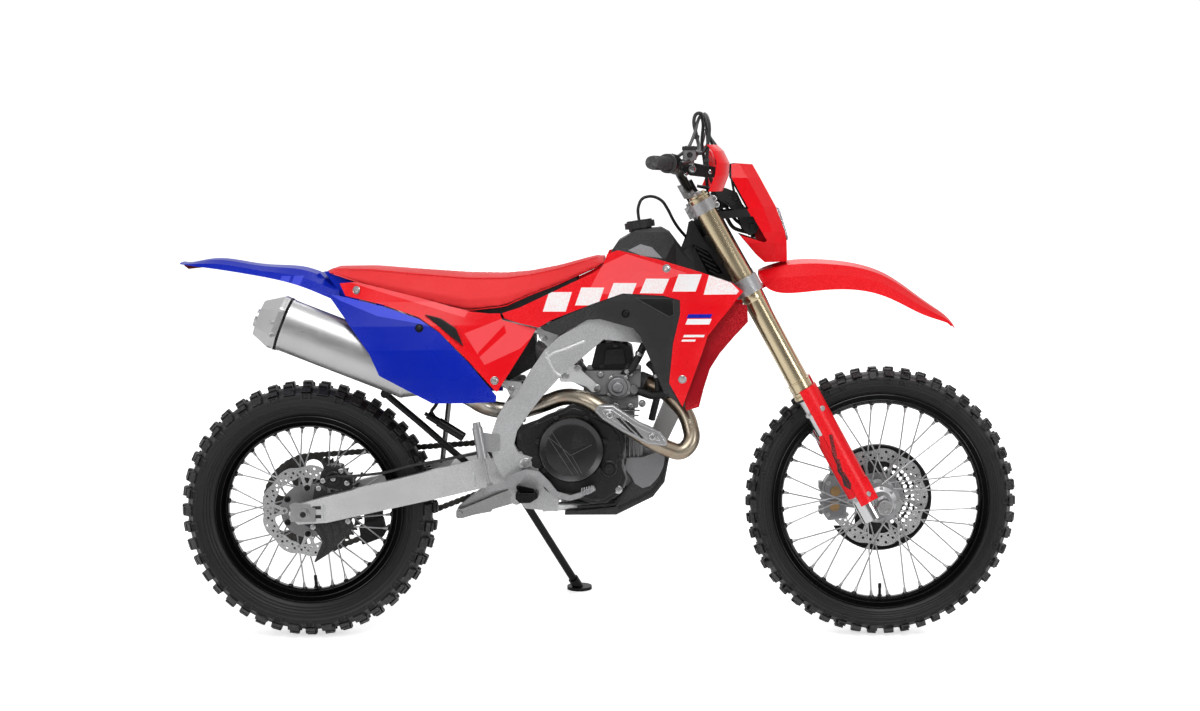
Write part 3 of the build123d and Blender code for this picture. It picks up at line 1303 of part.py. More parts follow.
def triple_clamps():
    """Upper and lower clamps on the steering stem, with pinch bolts and the stem's nut."""
    made = []
    for low, high in (UPPER_CLAMP, LOWER_CLAMP):
        middle = (low + high) / 2
        arm = Pos(2, 0, low) * extrude(make_face(Polyline(
            (-26, 26), (-18, 60), (-4, LEG_SPACING), (34, LEG_SPACING), (26, 60), (20, 26), (20, -26),
            (26, -60),
            (34, -LEG_SPACING), (-4, -LEG_SPACING), (-18, -60), (-26, -26), close=True)), high - low)
        ends = [
            Pos(CLAMP_OFFSET, s * LEG_SPACING, low) * extrude(Circle(FORK_OUTER_R + 8), high - low)
            for s in (1, -1)
        ]
        bores = [
            Pos(CLAMP_OFFSET, s * LEG_SPACING, low - 5) * extrude(
                Circle(FORK_OUTER_R + RUN), high - low + 10
            )
            for s in (1, -1)
        ]
        bolts = [
            Pos(CLAMP_OFFSET - 24, s * (LEG_SPACING - 24), middle + z) * Rot(0, 90, 0) * Cylinder(5, 44)
            for s in (1, -1) for z in (-8, 8)
        ]
        lighten = [Pos(2, s * 62, low - 1) * extrude(RectangleRounded(18, 26, 6), 12) for s in (1, -1)]
        made.append(fused([arm] + ends + bolts) - bores - lighten)
    stem = Pos(0, 0, LOWER_CLAMP[1] - 5) * extrude(Circle(16), UPPER_CLAMP[0] - LOWER_CLAMP[1] + 10)
    races = [
        Pos(0, 0, z) * extrude(Circle(HEAD_BORE_R - RUN), 14) for z in (HEAD_LOW + 2, HEAD_HIGH - 16)
    ]
    nut = Pos(0, 0, UPPER_CLAMP[1] - 2) * extrude(RegularPolygon(16, 6), 10)
    return FORK * fused(made + [stem, nut] + races)


def fork_guards():
    """Guards round the front and outer side of the sliders, seated on the axle lugs."""
    band = Circle(GUARD_OUT_R) - Circle(GUARD_IN_R)
    shell = Pos(0, 0, LUG_TOP - 8) * extrude(band, 326)
    seat_ring = Pos(0, 0, LUG_TOP - 14) * extrude(Circle(GUARD_OUT_R) - Circle(LUG_R + SEAT_GAP), 12)
    flare = Pos(20, -10, LUG_TOP - 14) * Box(34, 40, 60, align=(Align.CENTER, Align.CENTER, Align.MIN))
    flare = (
        flare - Pos(0, 0, -10) * extrude(Circle(GUARD_IN_R), 200)
    ) & Pos(0, 0, -10) * extrude(Circle(46), 200)
    behind = Pos(-52, 0, 200) * Box(80, 160, 460)
    inside = Pos(0, 62, 200) * Box(160, 100, 460)
    return both_sides(
        FORK * Pos(CLAMP_OFFSET, -LEG_SPACING, 0) * (fused([shell, seat_ring, flare]) - [behind, inside])
    )


def front_fender():
    """High front fender under the lower clamp, with the raised pad that it bolts on by."""
    shell = arch(FRONT_FENDER, PANEL_T)
    top = LOWER_CLAMP[0] - SEAT_GAP
    outline = [(-21, 32), (44, 34), (70, 49), (96, 49)]
    outline += [(x, -y) for x, y in reversed(outline)]
    pad = FORK * Pos(0, 0, top - 8) * extrude(make_face(Polyline(*outline, close=True)), 8)
    bolts = [
        FORK * Pos(x, y, top - 14) * Cylinder(6, 8, align=(Align.CENTER, Align.CENTER, Align.MIN))
        for x in (-8, 22) for y in (-22, 22)
    ]
    return fused([shell, pad] + bolts)


COWL_SIDE = [  # outline from the side
    (1097, 1222), (1109, 1224), (1152, 1221), (1171, 1187), (1211, 1113), (1236, 1050), (1239, 1021),
    (1241, 972), (1183, 971),
    (1164, 988), (1118, 1043), (1180, 1023), (1187, 1027), (1158, 1077), (1131, 1126), (1097, 1188),
]
COWL_LEVELS = [  # z, x of the front face, its half width, half width at the crease, half width at the back
    (960, 1242, 22, 38, 44), (1000, 1242, 40, 62, 70), (1021, 1240, 48, 76, 84), (1050, 1234, 52, 88, 95),
    (
        1113, 1211, 56, 97, 101
    ),
    (1187, 1171, 54, 94, 97), (1235, 1145, 40, 74, 78),
]
COWL_CREASE = 34.0  # from the front face back to the crease
COWL_T = 3.0
LENS_HALF = 45.0
LENS_LOW = Vector(1239, 0, 1021)  # lower and upper ends of the lens on the front face
LENS_HIGH = Vector(1211, 0, 1113)
LENS_BULGE = 8.0


def cowl_solid(inset):
    """The number-plate cowl as a solid that runs on backwards, drawn in by inset."""
    faces = []
    for z, front, face, crease, back in COWL_LEVELS:
        f = front - inset
        half = [(f, face - inset / 2), (f - COWL_CREASE, crease - inset), (1060, back - inset)]
        faces.append(
            Pos(0, 0, z) * make_face(Polyline(*half, *[(x, -y) for x, y in reversed(half)], close=True))
        )
    return loft(faces, ruled=True)


def lens_block(grow, low, high):
    """A block square to the lens, from low to high along its normal and larger than it by grow."""
    up = (LENS_HIGH - LENS_LOW).normalized()
    place = Plane(origin=(LENS_LOW + LENS_HIGH) * 0.5, x_dir=(0, 1, 0), z_dir=(up.Z, 0, -up.X)).location
    tall = (LENS_HIGH - LENS_LOW).length - 8 + 2 * grow
    return place * Pos(0, 0, low) * extrude(
        RectangleRounded(2 * (LENS_HALF + grow), tall, 12 + grow), high - low
    )


def headlight_cowl():
    """Number-plate cowl round the headlight, with the straps that hold it on the fork's tubes and the lamp's bowl."""
    fender_room = [
        (x, top + SEAT_GAP) for x, top, edge, half in FRONT_FENDER[:4]
    ] + [(1342, 880), (1169, 880)]
    shell = (cowl_solid(0) - Pos(-0.01, 0, 0) * cowl_solid(COWL_T)) & slab(COWL_SIDE, -120, 120)
    shell -= slab(fender_room, -120, 120)
    lamp = (lens_block(4, -44, 0) - lens_block(1, -38, 9)) & cowl_solid(COWL_T - 0.5)
    bowl = lens_block(-6, -72, -41) & cowl_solid(COWL_T)
    strap = slab([(1040, 1100), (1152, 1110), (1152, 1090), (1048, 1082)], -98, -88)
    room = FORK * Pos(CLAMP_OFFSET, -LEG_SPACING, 0) * extrude(Circle(FORK_OUTER_R + SEAT_GAP), 960)
    straps = [(strap - room).solids().sort_by(Axis.X)[-1]]
    straps.append(reflected(straps[0]))
    return fused([shell - lens_block(SEAT_GAP, -20, 20), lamp, bowl] + straps)


def headlight_lens():
    """Clear lens in the cowl's window, proud of it, with a rounded rim."""
    block = lens_block(0, -6, LENS_BULGE)
    front = block.faces().sort_by(lambda f: f.center().X)[-1]
    return fillet(front.edges(), 6)


BAR_R = 11.1
BAR_ROUTE = [(987, 0, 1161), (987, -84, 1161), (962, -174, 1208), (938, -290, 1225), (897, -413, 1228)]
GRIP_R = 16.0
RISER_Y = 44.0


def bar_point(share):
    """A point on the grip's stretch of the bar, on the right, share of the way from its start to its end."""
    start, end = Vector(*BAR_ROUTE[3]), Vector(*BAR_ROUTE[4])
    return start + (end - start) * share


def bar_along():
    """Direction of the bar through the grip, outwards on the right."""
    return (Vector(*BAR_ROUTE[4]) - Vector(*BAR_ROUTE[3])).normalized()


def bar():
    """The handlebar's tube."""
    left = [(x, -y, z) for x, y, z in reversed(BAR_ROUTE[1:])]
    return tube(left + BAR_ROUTE[1:], BAR_R, 80)


def handlebar():
    """Handlebar in its two risers on the upper clamp, and the pad between them."""
    low = UPPER_CLAMP[1] + SEAT_GAP
    blocks = []
    for side in (1, -1):
        block = FORK * Pos(11, side * RISER_Y, low) * Box(
            36, 30, 58, align=(Align.CENTER, Align.CENTER, Align.MIN)
        )
        blocks.append(block - bar_room())
    return [bar()] + blocks


def bar_room():
    """The bar's middle stretch, as the risers' bore."""
    left = [(x, -y, z) for x, y, z in reversed(BAR_ROUTE[1:4])]
    return tube(left + BAR_ROUTE[1:4], BAR_R + RUN, 80)


def grips():
    """Rubber grips with their flanges and ribs."""
    along, end = bar_along(), bar_point(1)
    start = end - along * 120
    parts = [rod(start, end + along * 3, GRIP_R), rod(start, start + along * 4, 24)]
    parts += [rod(start + along * s, start + along * (s + 3.5), GRIP_R + 1.2) for s in range(14, 112, 9)]
    made = fused(parts) - rod(start - along * 30, end, BAR_R + RUN)
    return both_sides(made)


GUARD_EDGE = [(1158, 1068, 1034), (1196, 1083, 1050), (1226, 1085, 1054), (1255, 1071, 1044), (1270, 1055, 1030)]  # z, front x, end x


def hand_guards():
    """Hand guards in front of the grips, each on an arm that is clamped to the bar."""
    faces = []
    for z, front, end in GUARD_EDGE:
        outer = [(end, -418), (front - 9, -388), (front, -330), (front - 3, -270), (front - 20, -214)]
        inner = [(x - PANEL_T, y) for x, y in reversed(outer)]
        wire = Wire([Spline(*outer).edge(), Line(outer[-1], inner[0]).edge(), Spline(*inner).edge(), Line(inner[-1], outer[0]).edge()])
        faces.append(Pos(0, 0, z) * make_face(wire))
    shell = loft(faces, ruled=True)
    along = (Vector(*BAR_ROUTE[3]) - Vector(*BAR_ROUTE[2])).normalized()
    grip_at = Vector(*BAR_ROUTE[2]) + along * 52
    ring_body = rod(grip_at - along * 9, grip_at + along * 9, BAR_R + 6)
    arm = tube([grip_at + Vector(10, 0, -4), (1012, grip_at.Y - 6, 1206), (1071, -238, 1210)], 6)
    made = fused([ring_body, arm]) - rod(
        Vector(*BAR_ROUTE[2]) - along * 20, Vector(*BAR_ROUTE[3]), BAR_R + RUN
    )
    return both_sides(fused([shell, made]))


PERCH_OUT = Vector(36, -4, 4).normalized()
PERCH_REACH = 46.0


def perch_at():
    """Direction of the bar at the lever's clamp, and the clamp's middle."""
    along = (Vector(*BAR_ROUTE[3]) - Vector(*BAR_ROUTE[2])).normalized()
    return along, Vector(*BAR_ROUTE[3]) - along * 20


def perch():
    """A lever's clamp on the bar."""
    along, at = perch_at()
    return fused([rod(at - along * 9, at + along * 9, BAR_R + 6), rod(at + PERCH_OUT * 8, at + PERCH_OUT * PERCH_REACH, 9)])


def lever_blade():
    """A lever's blade in front of the grip."""
    return tube([(974, -276, 1227), (988, -300, 1230), (978, -350, 1228), (966, -400, 1224)], 5.5)


def levers():
    """Brake lever with its master cylinder on the right and clutch lever on the left."""
    along, at = perch_at()
    base = fused([perch() - rod(at - along * 30, at + along * 30, BAR_R + RUN), lever_blade()])
    tank = rounded_slab([(972, 1238), (972, 1266), (1006, 1264), (1006, 1232)], -292, -254, 4)
    right = fused([base, tank, rod((982, -274, 1226), (986, -274, 1242), 9)])
    return [right, reflected(base)]


def front_caliper():
    """Front brake caliper behind the left leg, open for the disc, with its two piston caps."""
    body = rounded_slab(
        [(1335, 382), (1352, 408), (1398, 408), (1402, 350), (1398, 298), (1352, 290), (1335, 314)], 38,
        82, 8
    )
    caps = [cross_rod(x, z, 80, 87, 13) for x, z in ((1374, 376), (1372, 326))]
    mouth = cross_rod(FRONT_AXLE.X, FRONT_AXLE.Z, 49.5, 55.5, 134)
    return fused([body] + caps) - mouth


def front_disc_guard():
    """Vented guard over the front disc, open round the caliper and held on the left leg."""
    plate = ring(138, 46, 62, 65)
    lip = ring(139, 136, 46, 65)
    vents = [
        Pos(r * cos(a), 64, r * sin(a)) * Rot(90, 0, 0) * Cylinder(5.2, 8)
        for r, count, first in ((76, 16, -60), (92, 16, -54), (108, 16, -60)) for a in [
            radians(first + 7.4 * (i + 0.5 * (r == 92)) * 92 / r) for i in range(count)
        ]
    ]
    gap = plan([(-148, 20), (-60, 20), (-60, 110), (-148, 110)], -76, 108)
    made = Pos(WHEELBASE, 0, FRONT_RADIUS) * ((fused([plate, lip]) - gap) - vents)
    bosses = [cross_rod(1430, 374, 64, 78.2, 7), cross_rod(1441, 316, 64, 78.2, 7)]
    return fused([made] + bosses)


HOSE_R = 4.0


def control_cables():
    """Front brake hose from its master cylinder over the bars and down the left leg, and the clutch cable's loop."""
    down = [
        (50, 74, 850), (50, 74, 760), (52, 74.5, 670), (50, 74, 590), (44, 74, 510), (36, 72, 440),
        (24, 70, 370), (12, 70, 300), (3, 69, 230), (-6, 68, 170)
    ]
    leg = [(FORK * Pos(*p)).position for p in down]
    hose = [
        (1006.3, -272, 1249), (1022, -272, 1249), (1036, -256, 1276), (1040, -226, 1316),
        (1034, -184, 1344), (1026, -134, 1350),
        (1032, -84, 1324), (1048, -36, 1280), (1062, 10, 1232), (1070, 46, 1184), (1074, 66, 1136),
    ]
    foot = Vector(1374, 64, 408.3)
    perch_end = reflected_point(perch_at()[1] + PERCH_OUT * (PERCH_REACH + SEAT_GAP))
    cable = [
        perch_end, perch_end + reflected_point(PERCH_OUT) * 18, (1024, 262, 1254), (1034, 222, 1288),
        (1036, 165, 1306),
        (1044, 112, 1298), (1062, 66, 1272), (1086, 36, 1236), (1100, 22, 1194), (1106, 16, 1152),
        (1119.7, 14, 1118),
    ]
    return [tube(hose + leg + [foot + Vector(0, 0, 44), foot], HOSE_R), tube(cable, 3.2)]


def reflected_point(point):
    """A point's mirror image about the centre plane."""
    return Vector(point.X, -point.Y, point.Z)


NODES = {
    "front_tyre": lambda: Pos(*FRONT_AXLE) * tyre(FRONT_WHEEL),
    "front_rim": lambda: Pos(*FRONT_AXLE) * rim(FRONT_WHEEL),
    "front_spokes": lambda: [Pos(*FRONT_AXLE) * s for s in spokes(FRONT_WHEEL)],
    "front_hub": lambda: Pos(*FRONT_AXLE) * hub(FRONT_WHEEL, FRONT_CARRIERS),
    "front_brake_disc": lambda: Pos(
        WHEELBASE, FRONT_CARRIERS[1][0] + DISC_T, FRONT_RADIUS
    ) * disc(130, 96, DISC_T, 54, 6),
    "rear_tyre": lambda: Pos(*REAR_AXLE) * tyre(REAR_WHEEL),
    "rear_rim": lambda: Pos(*REAR_AXLE) * rim(REAR_WHEEL),
    "rear_spokes": lambda: [Pos(*REAR_AXLE) * s for s in spokes(REAR_WHEEL)],
    "rear_hub": lambda: Pos(*REAR_AXLE) * hub(REAR_WHEEL, REAR_CARRIERS),
    "rear_brake_disc": lambda: Pos(
        0, -REAR_CARRIERS[-1][0], REAR_RADIUS
    ) * disc(120, 88, REAR_DISC_T, 60, 4),
    "rear_sprocket": lambda: Pos(0, CHAIN_Y, REAR_RADIUS) * sprocket(
        REAR_TEETH, SPROCKET_T, CARRIER_BORE, 6
    ),
    "front_axle": front_axle,
    "rear_axle": rear_axle,
    "drive_chain": lambda: [chain(), countershaft_sprocket()],
    "main_frame": main_frame,
    "frame_cradle": frame_cradle,
    "subframe": subframe,
    "crankcase": crankcase,
    "engine_covers": engine_covers,
    "cylinder": cylinder,
    "throttle_body": throttle_body,
    "exhaust_header": exhaust_header,
    "heat_shield": heat_shield,
    "silencer": silencer,
    "skid_plate": skid_plate,
    "swingarm": swingarm,
    "swingarm_pivot": swingarm_pivot,
    "shock_absorber": shock_absorber,
    "shock_linkage": shock_linkage,
    "fuel_tank": lambda: [tank_body(), tank_cap()],
    "vent_hose": vent_hose,
    "radiators": radiators,
    "radiator_shrouds": radiator_shrouds,
    "shroud_covers": shroud_covers,
    "seat": seat,
    "side_panels": side_panels,
    "number_plates": number_plates,
    "airbox": airbox,
    "rear_fender": rear_fender,
    "tail_light": tail_light,
    "footpegs": footpegs,
    "brake_pedal": lambda: [brake_pedal(), master_cylinder()],
    "gear_lever": gear_lever,
    "rear_caliper": rear_caliper,
    "swingarm_guards": lambda: [rear_disc_guard()] + chain_guide(),
    "side_stand": side_stand,
    "fork_tubes": fork_tubes,
    "fork_sliders": fork_sliders,
    "triple_clamps": triple_clamps,
    "fork_guards": fork_guards,
    "front_fender": front_fender,
    "headlight_cowl": headlight_cowl,
    "headlight_lens": headlight_lens,
    "handlebar": handlebar,
    "grips": grips,
    "hand_guards": hand_guards,
    "levers": levers,
    "front_caliper": front_caliper,
    "front_disc_guard": front_disc_guard,
    "control_cables": control_cables,
}
FRONT_WHEEL_NODES = ("front_tyre", "front_rim", "front_spokes", "front_hub", "front_brake_disc")
REAR_WHEEL_NODES = (
    "rear_tyre", "rear_rim", "rear_spokes", "rear_hub", "rear_brake_disc", "rear_sprocket"
)
STEERING_NODES = (
    "front_axle", "fork_tubes", "fork_sliders", "triple_clamps", "fork_guards", "front_fender",
    "headlight_cowl",
    "headlight_lens", "handlebar", "grips", "hand_guards", "levers", "front_caliper", "front_disc_guard",
    "control_cables",
)


def write(name, made):
    """One STEP of a node's solids, on the leaning machine."""
    solids = []
    for shape in made if isinstance(made, (list, ShapeList)) else [made]:
        solids += shape.solids()
    export_step(Compound(children=[PARK * s for s in solids]), f"parts/{name}.step")


def main():
    os.makedirs("parts", exist_ok=True)
    for name, make in NODES.items():
        write(name, make())


if __name__ == "__main__":
    main()
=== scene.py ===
"""An enduro motorcycle on its side stand, finished as a Blender add-on that is run as a script."""

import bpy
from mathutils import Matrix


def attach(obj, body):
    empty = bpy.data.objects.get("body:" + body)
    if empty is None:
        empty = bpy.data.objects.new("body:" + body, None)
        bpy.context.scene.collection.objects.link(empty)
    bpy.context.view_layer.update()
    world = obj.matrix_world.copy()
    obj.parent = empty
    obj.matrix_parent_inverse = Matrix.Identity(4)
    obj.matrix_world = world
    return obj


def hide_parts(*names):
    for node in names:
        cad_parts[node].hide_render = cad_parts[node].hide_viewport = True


bl_info = {
    "name": "Enduro motorcycle",
    "version": (1, 0, 0),
    "blender": (4, 5, 0),
    "location": "3D View > Sidebar > Motorcycle",
    "description": "Tyres, seat, finishes, fasteners and stage for an enduro motorcycle",
    "category": "Object",
}

from functools import reduce
from math import cos, hypot, pi, radians, sin, sqrt

import bmesh
import bpy
from bpy.props import FloatProperty, FloatVectorProperty, IntProperty, PointerProperty
from bpy.types import Operator, Panel, PropertyGroup
from mathutils import Matrix, Vector
from mathutils.bvhtree import BVHTree

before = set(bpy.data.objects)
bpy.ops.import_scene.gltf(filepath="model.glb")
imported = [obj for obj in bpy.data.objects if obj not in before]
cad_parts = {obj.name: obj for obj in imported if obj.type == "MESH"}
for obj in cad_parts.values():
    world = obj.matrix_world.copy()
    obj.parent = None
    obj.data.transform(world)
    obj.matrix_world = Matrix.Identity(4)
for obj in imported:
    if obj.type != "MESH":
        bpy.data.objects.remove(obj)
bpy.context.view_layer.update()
MM = 0.001
LEAN = 10.0  # degrees, on the side stand
RAKE = 28.3  # degrees, of the fork
RIGHT = (0, -1, 0)
UP = (0, 0, 1)
WELD = 0.002  # millimetres within which points of a draft are joined
BEVEL_ANGLE = 35  # degrees from which an edge is eased
FAR = 600  # millimetres from the centre plane, outside every piece
# Everything is drawn in millimetres on the upright machine, whose +X points forwards from the rear axle,
# and +Z up from the ground.
PARKED = (
    Matrix.Translation((-0.749, -0.209, 0.000836)) @ Matrix.Rotation(radians(-LEAN), 4, "X")
    @ Matrix.Scale(MM, 4)
)
REAR_AXLE = Vector((0, 0, 335))
FRONT_AXLE = Vector((1483, 0, 349.5))
AXLE_OFFSET = 61  # millimetres from the steering axis to the front axle
STEER_FOOT = Vector((
    FRONT_AXLE.x - AXLE_OFFSET * cos(radians(RAKE)), 0, FRONT_AXLE.z - AXLE_OFFSET * sin(radians(RAKE))
))
FORK = Matrix.Translation(STEER_FOOT) @ Matrix.Rotation(radians(-RAKE), 4, "Y")


# ---------------------------------------------------------------- mesh tools
class Draft:
    """A mesh being drawn in millimetres on the upright machine."""

    def __init__(self, place=None):
        self.bm = bmesh.new()
        self.place = place or Matrix.Identity(4)

    def loft(self, rings, caps=True, loop=False):
        """Skins a row of rings with equal counts of points, and closes its ends or joins them in a loop."""
        made = [[self.bm.verts.new(self.place @ Vector(p)) for p in ring] for ring in rings]
        for a, b in zip(made, made[1:] + (made[:1] if loop else [])):
            for i in range(len(a)):
                j = (i + 1) % len(a)
                self.bm.faces.new((a[i], a[j], b[j], b[i]))
        if caps and not loop:
            self.bm.faces.new(made[0][::-1])
            self.bm.faces.new(made[-1])

    def lathe(self, profile, centre=(0, 0, 0), axis=(0, 1, 0), steps=32):
        """Turns a profile of (along, radius) points about an axis."""
        turn, angles = turned_to(axis), [2 * pi * i / steps for i in range(steps)]
        self.loft([
            [Vector(centre) + turn @ Vector((radius * cos(a), radius * sin(a), along)) for a in angles]
            for along, radius in profile
        ])

    def prism(self, outline, *faces):
        """An upright plate: an (x, z) outline between two places along Y, given in either order."""
        self.loft([[(x, y, z) for x, z in outline] for y in sorted(faces)])

    def sweep(self, route, radius, sides=10, smooth=6, closed=False):
        """A tube along a smooth route; radius may be a function of the share of the way."""
        points = eased(route, smooth) if smooth else [Vector(p) for p in route]
        rings, up = [], None
        for i, p in enumerate(points):
            along = (points[min(i + 1, len(points) - 1)] - points[max(i - 1, 0)]).normalized()
            if up is None:
                up = along.orthogonal().normalized()
            up = (up - along * up.dot(along)).normalized()
            side = along.cross(up)
            r = radius(i / (len(points) - 1)) if callable(radius) else radius
            turns = [2 * pi * k / sides for k in range(sides)]
            rings.append([p + up * r * cos(t) + side * r * sin(t) for t in turns])
        self.loft(rings, loop=closed)

    def bolt(self, centre, axis, size=6.0, height=4.0, washer=0.0, socket=False):
        """A hexagon bolt head, or a round socket head, standing on centre along axis."""
        centre, axis = Vector(centre), Vector(axis).normalized()
        foot = 0.0
        if washer:
            self.lathe([(0, washer), (1.2, washer), (1.5, washer - 0.4)], centre, axis, 20)
            foot = 1.4
        if socket:
            top = foot + height
            self.lathe([
                (foot, size), (top - 0.8, size), (top, size - 0.8), (top, size * 0.5),
                (foot + height * 0.35, size * 0.5),
            ], centre, axis, 18)
        else:
            flange, top = size * 1.25, foot + height
            self.lathe([(foot, flange), (foot + 0.9, flange), (foot + 1.3, size * 1.05)], centre, axis, 20)
            self.lathe([(foot + 1, size), (top - 0.7, size), (top, size * 0.85)], centre, axis, 6)

    def bolts(self, places, y, *head):
        """Bolts on the right side, at (x, z) places of one flat face or on the named pieces."""
        for x, z in places:
            self.bolt(struck(y, x, z)[0] if isinstance(y, str) else (x, y, z), RIGHT, *head)

    def mirrored(self):
        """Adds the same again on the other side of the centre plane."""
        everything = self.bm.verts[:] + self.bm.edges[:] + self.bm.faces[:]
        copy = bmesh.ops.duplicate(self.bm, geom=everything)["geom"]
        verts = [g for g in copy if isinstance(g, bmesh.types.BMVert)]
        for v in verts:
            v.co.y = -v.co.y
        bmesh.ops.reverse_faces(self.bm, faces=[g for g in copy if isinstance(g, bmesh.types.BMFace)])

    def finish(self, name, body, finish, slot, smooth=38.0, bevel=0.0, weld=False):
        """Turns the draft into a piece of the parked machine that rides on a body."""
        if weld or bevel:
            bmesh.ops.remove_doubles(self.bm, verts=self.bm.verts, dist=WELD)
        bmesh.ops.recalc_face_normals(self.bm, faces=self.bm.faces)
        bmesh.ops.transform(self.bm, matrix=PARKED, verts=self.bm.verts)
        mesh = bpy.data.meshes.new(name)
        self.bm.to_mesh(mesh)
        self.bm.free()
        piece = bpy.data.objects.new(name, mesh)
        bpy.context.scene.collection.objects.link(piece)
        if bevel:
            edge = piece.modifiers.new("eased edges", "BEVEL")
            edge.width, edge.segments, edge.limit_method = bevel * MM, 2, "ANGLE"
            edge.angle_limit = radians(BEVEL_ANGLE)
        shade(mesh, smooth)
        mesh.materials.append(FINISH[finish])
        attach(piece, body)
        return piece


def shade(mesh, degrees):
    """Smooth shading that stays sharp over edges steeper than an angle."""
    for face in mesh.polygons:
        face.use_smooth = True
    mesh.set_sharp_from_angle(angle=radians(degrees))


def turned_to(axis):
    """Rotation that takes +Z to an axis."""
    return Vector((0, 0, 1)).rotation_difference(Vector(axis).normalized()).to_matrix()


def eased(route, steps):
    """Points on a smooth line through every point of a route."""
    p = [Vector(q) for q in route]
    p = [2 * p[0] - p[1]] + p + [2 * p[-1] - p[-2]]
    out = []
    for i in range(1, len(p) - 2):
        for k in range(steps):
            t = k / steps
            out.append(0.5 * (
                2 * p[i] + (p[i + 1] - p[i - 1]) * t
                + (2 * p[i - 1] - 5 * p[i] + 4 * p[i + 1] - p[i + 2]) * t * t
                + (3 * p[i] - p[i - 1] - 3 * p[i + 1] + p[i + 2]) * t ** 3
            ))
    return out + [p[-2]]


# ---------------------------------------------------------------- places on the carried pieces
TREES = {}


def tree_of(name):
    """Search tree of a carried piece, in millimetres on the upright machine."""
    if name not in TREES:
        mesh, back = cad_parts[name].data, PARKED.inverted()
        TREES[name] = BVHTree.FromPolygons(
            [back @ v.co for v in mesh.vertices], [list(p.vertices) for p in mesh.polygons]
        )
    return TREES[name]


def struck(names, x, z, side=-1):
    """Where a line from one side first meets the named pieces: the point and the way out of it."""
    best = None
    for name in names.split():
        hit, normal, _, _ = tree_of(name).ray_cast(Vector((x, side * FAR, z)), Vector((0, -side, 0)))
        if hit and (best is None or hit.y * side > best[0].y * side):
            best = (hit, normal if normal.y * side > 0 else -normal)
    if best is None:
        raise RuntimeError(f"nothing of {names} lies at {x}, {z}")
    return best


GIRDLE_REACH, GIRDLE_STEPS, GIRDLE_SUNK = 150, 72, 0.15


def girdle(d, name, centre, axis, edges, proud):
    """A close band round a carried piece: edges are (along, share of proud) from one rim to the other."""
    turn, centre = turned_to(axis), Vector(centre)
    rings = []
    for along, share in edges:
        ring = []
        for i in range(GIRDLE_STEPS):
            angle = 2 * pi * i / GIRDLE_STEPS
            out = turn @ Vector((cos(angle), sin(angle), 0))
            start = centre + turn @ Vector((0, 0, along)) + out * GIRDLE_REACH
            hit = tree_of(name).ray_cast(start, -out)[0]
            if hit is None:
                raise RuntimeError(f"the band misses {name}")
            ring.append(hit + out * (proud * share - GIRDLE_SUNK))
        rings.append(ring)
    d.loft(rings, caps=False)


def plate(d, outline, depth, at):
    """A plate of some depth on the right side, whose outer face follows a function at(x, z) -> y."""
    d.loft([[(x, at(x, z) + depth, z) for x, z in outline], [(x, at(x, z), z) for x, z in outline]])


def dense(corners, steps=8):
    """Points along the sides of a closed outline, back to its first corner."""
    ends = [Vector(c) for c in corners + corners[:1]]
    points = [tuple(a.lerp(b, k / steps)) for a, b in zip(ends, ends[1:]) for k in range(steps)]
    return points + [tuple(ends[0])]


def line_on(d, names, points, radius, side=-1, sides=6, lift=0.0, smooth=4):
    """A thin cord or bead that lies on the carried pieces, through (x, z) points seen from one side."""
    way = Vector((0, side * lift, 0))
    d.sweep([struck(names, x, z, side)[0] + way for x, z in points], radius, sides, smooth)


# ---------------------------------------------------------------- shader tools
class Wires:
    """Places and links the nodes of a material or a node group."""

    def __init__(self, tree):
        self.tree = tree

    def add(self, kind, ports=None, **settings):
        node = self.tree.nodes.new("ShaderNode" + kind)
        for key, value in settings.items():
            setattr(node, key, value)
        for key, value in (ports or {}).items():
            self.put(node.inputs[key], value)
        return node

    def put(self, socket, value):
        if isinstance(value, bpy.types.NodeSocket):
            self.tree.links.new(value, socket)
        else:
            socket.default_value = value

    def math(self, operation, a, b, clamp=False):
        return self.add("Math", {0: a, 1: b}, operation=operation, use_clamp=clamp).outputs[0]

    def separate(self, vector):
        return self.add("SeparateXYZ", {0: vector}).outputs

    def coordinate(self, kind="Object"):
        return self.add("TexCoord").outputs[kind]

    def noise(self, vector, scale, detail, roughness=0.5):
        return self.add(
            "TexNoise", {0: vector, "Scale": scale, "Detail": detail, "Roughness": roughness}
        ).outputs[0]

    def mix(self, share, a, b):
        node = self.add("Mix", data_type="RGBA")
        for port, value in ((0, share), (6, a), (7, b)):
            plain = isinstance(value, (float, bpy.types.NodeSocket))
            self.put(node.inputs[port], value if plain else (*value, 1))
        return node.outputs[2]

    def span(self, value, low, high, to_low=0.0, to_high=1.0):
        return self.add("MapRange", {0: value, 1: low, 2: high, 3: to_low, 4: to_high}).outputs[0]

    def group(self, name, **ports):
        node = self.add("Group")
        node.node_tree = bpy.data.node_groups[name]
        for key, value in ports.items():
            self.put(node.inputs[key.replace("_", " ")], value)
        return node


def new_group(name, inputs, outputs):
    """A shader node group with named sockets: (name, kind, default) in, (name, kind) out."""
    tree = bpy.data.node_groups.new(name, "ShaderNodeTree")
    for label, kind, default in inputs:
        socket = tree.interface.new_socket(name=label, in_out="INPUT", socket_type="NodeSocket" + kind)
        socket.default_value = default
    for label, kind in outputs:
        tree.interface.new_socket(name=label, in_out="OUTPUT", socket_type="NodeSocket" + kind)
    w = Wires(tree)
    return w, w.tree.nodes.new("NodeGroupInput"), w.tree.nodes.new("NodeGroupOutput")


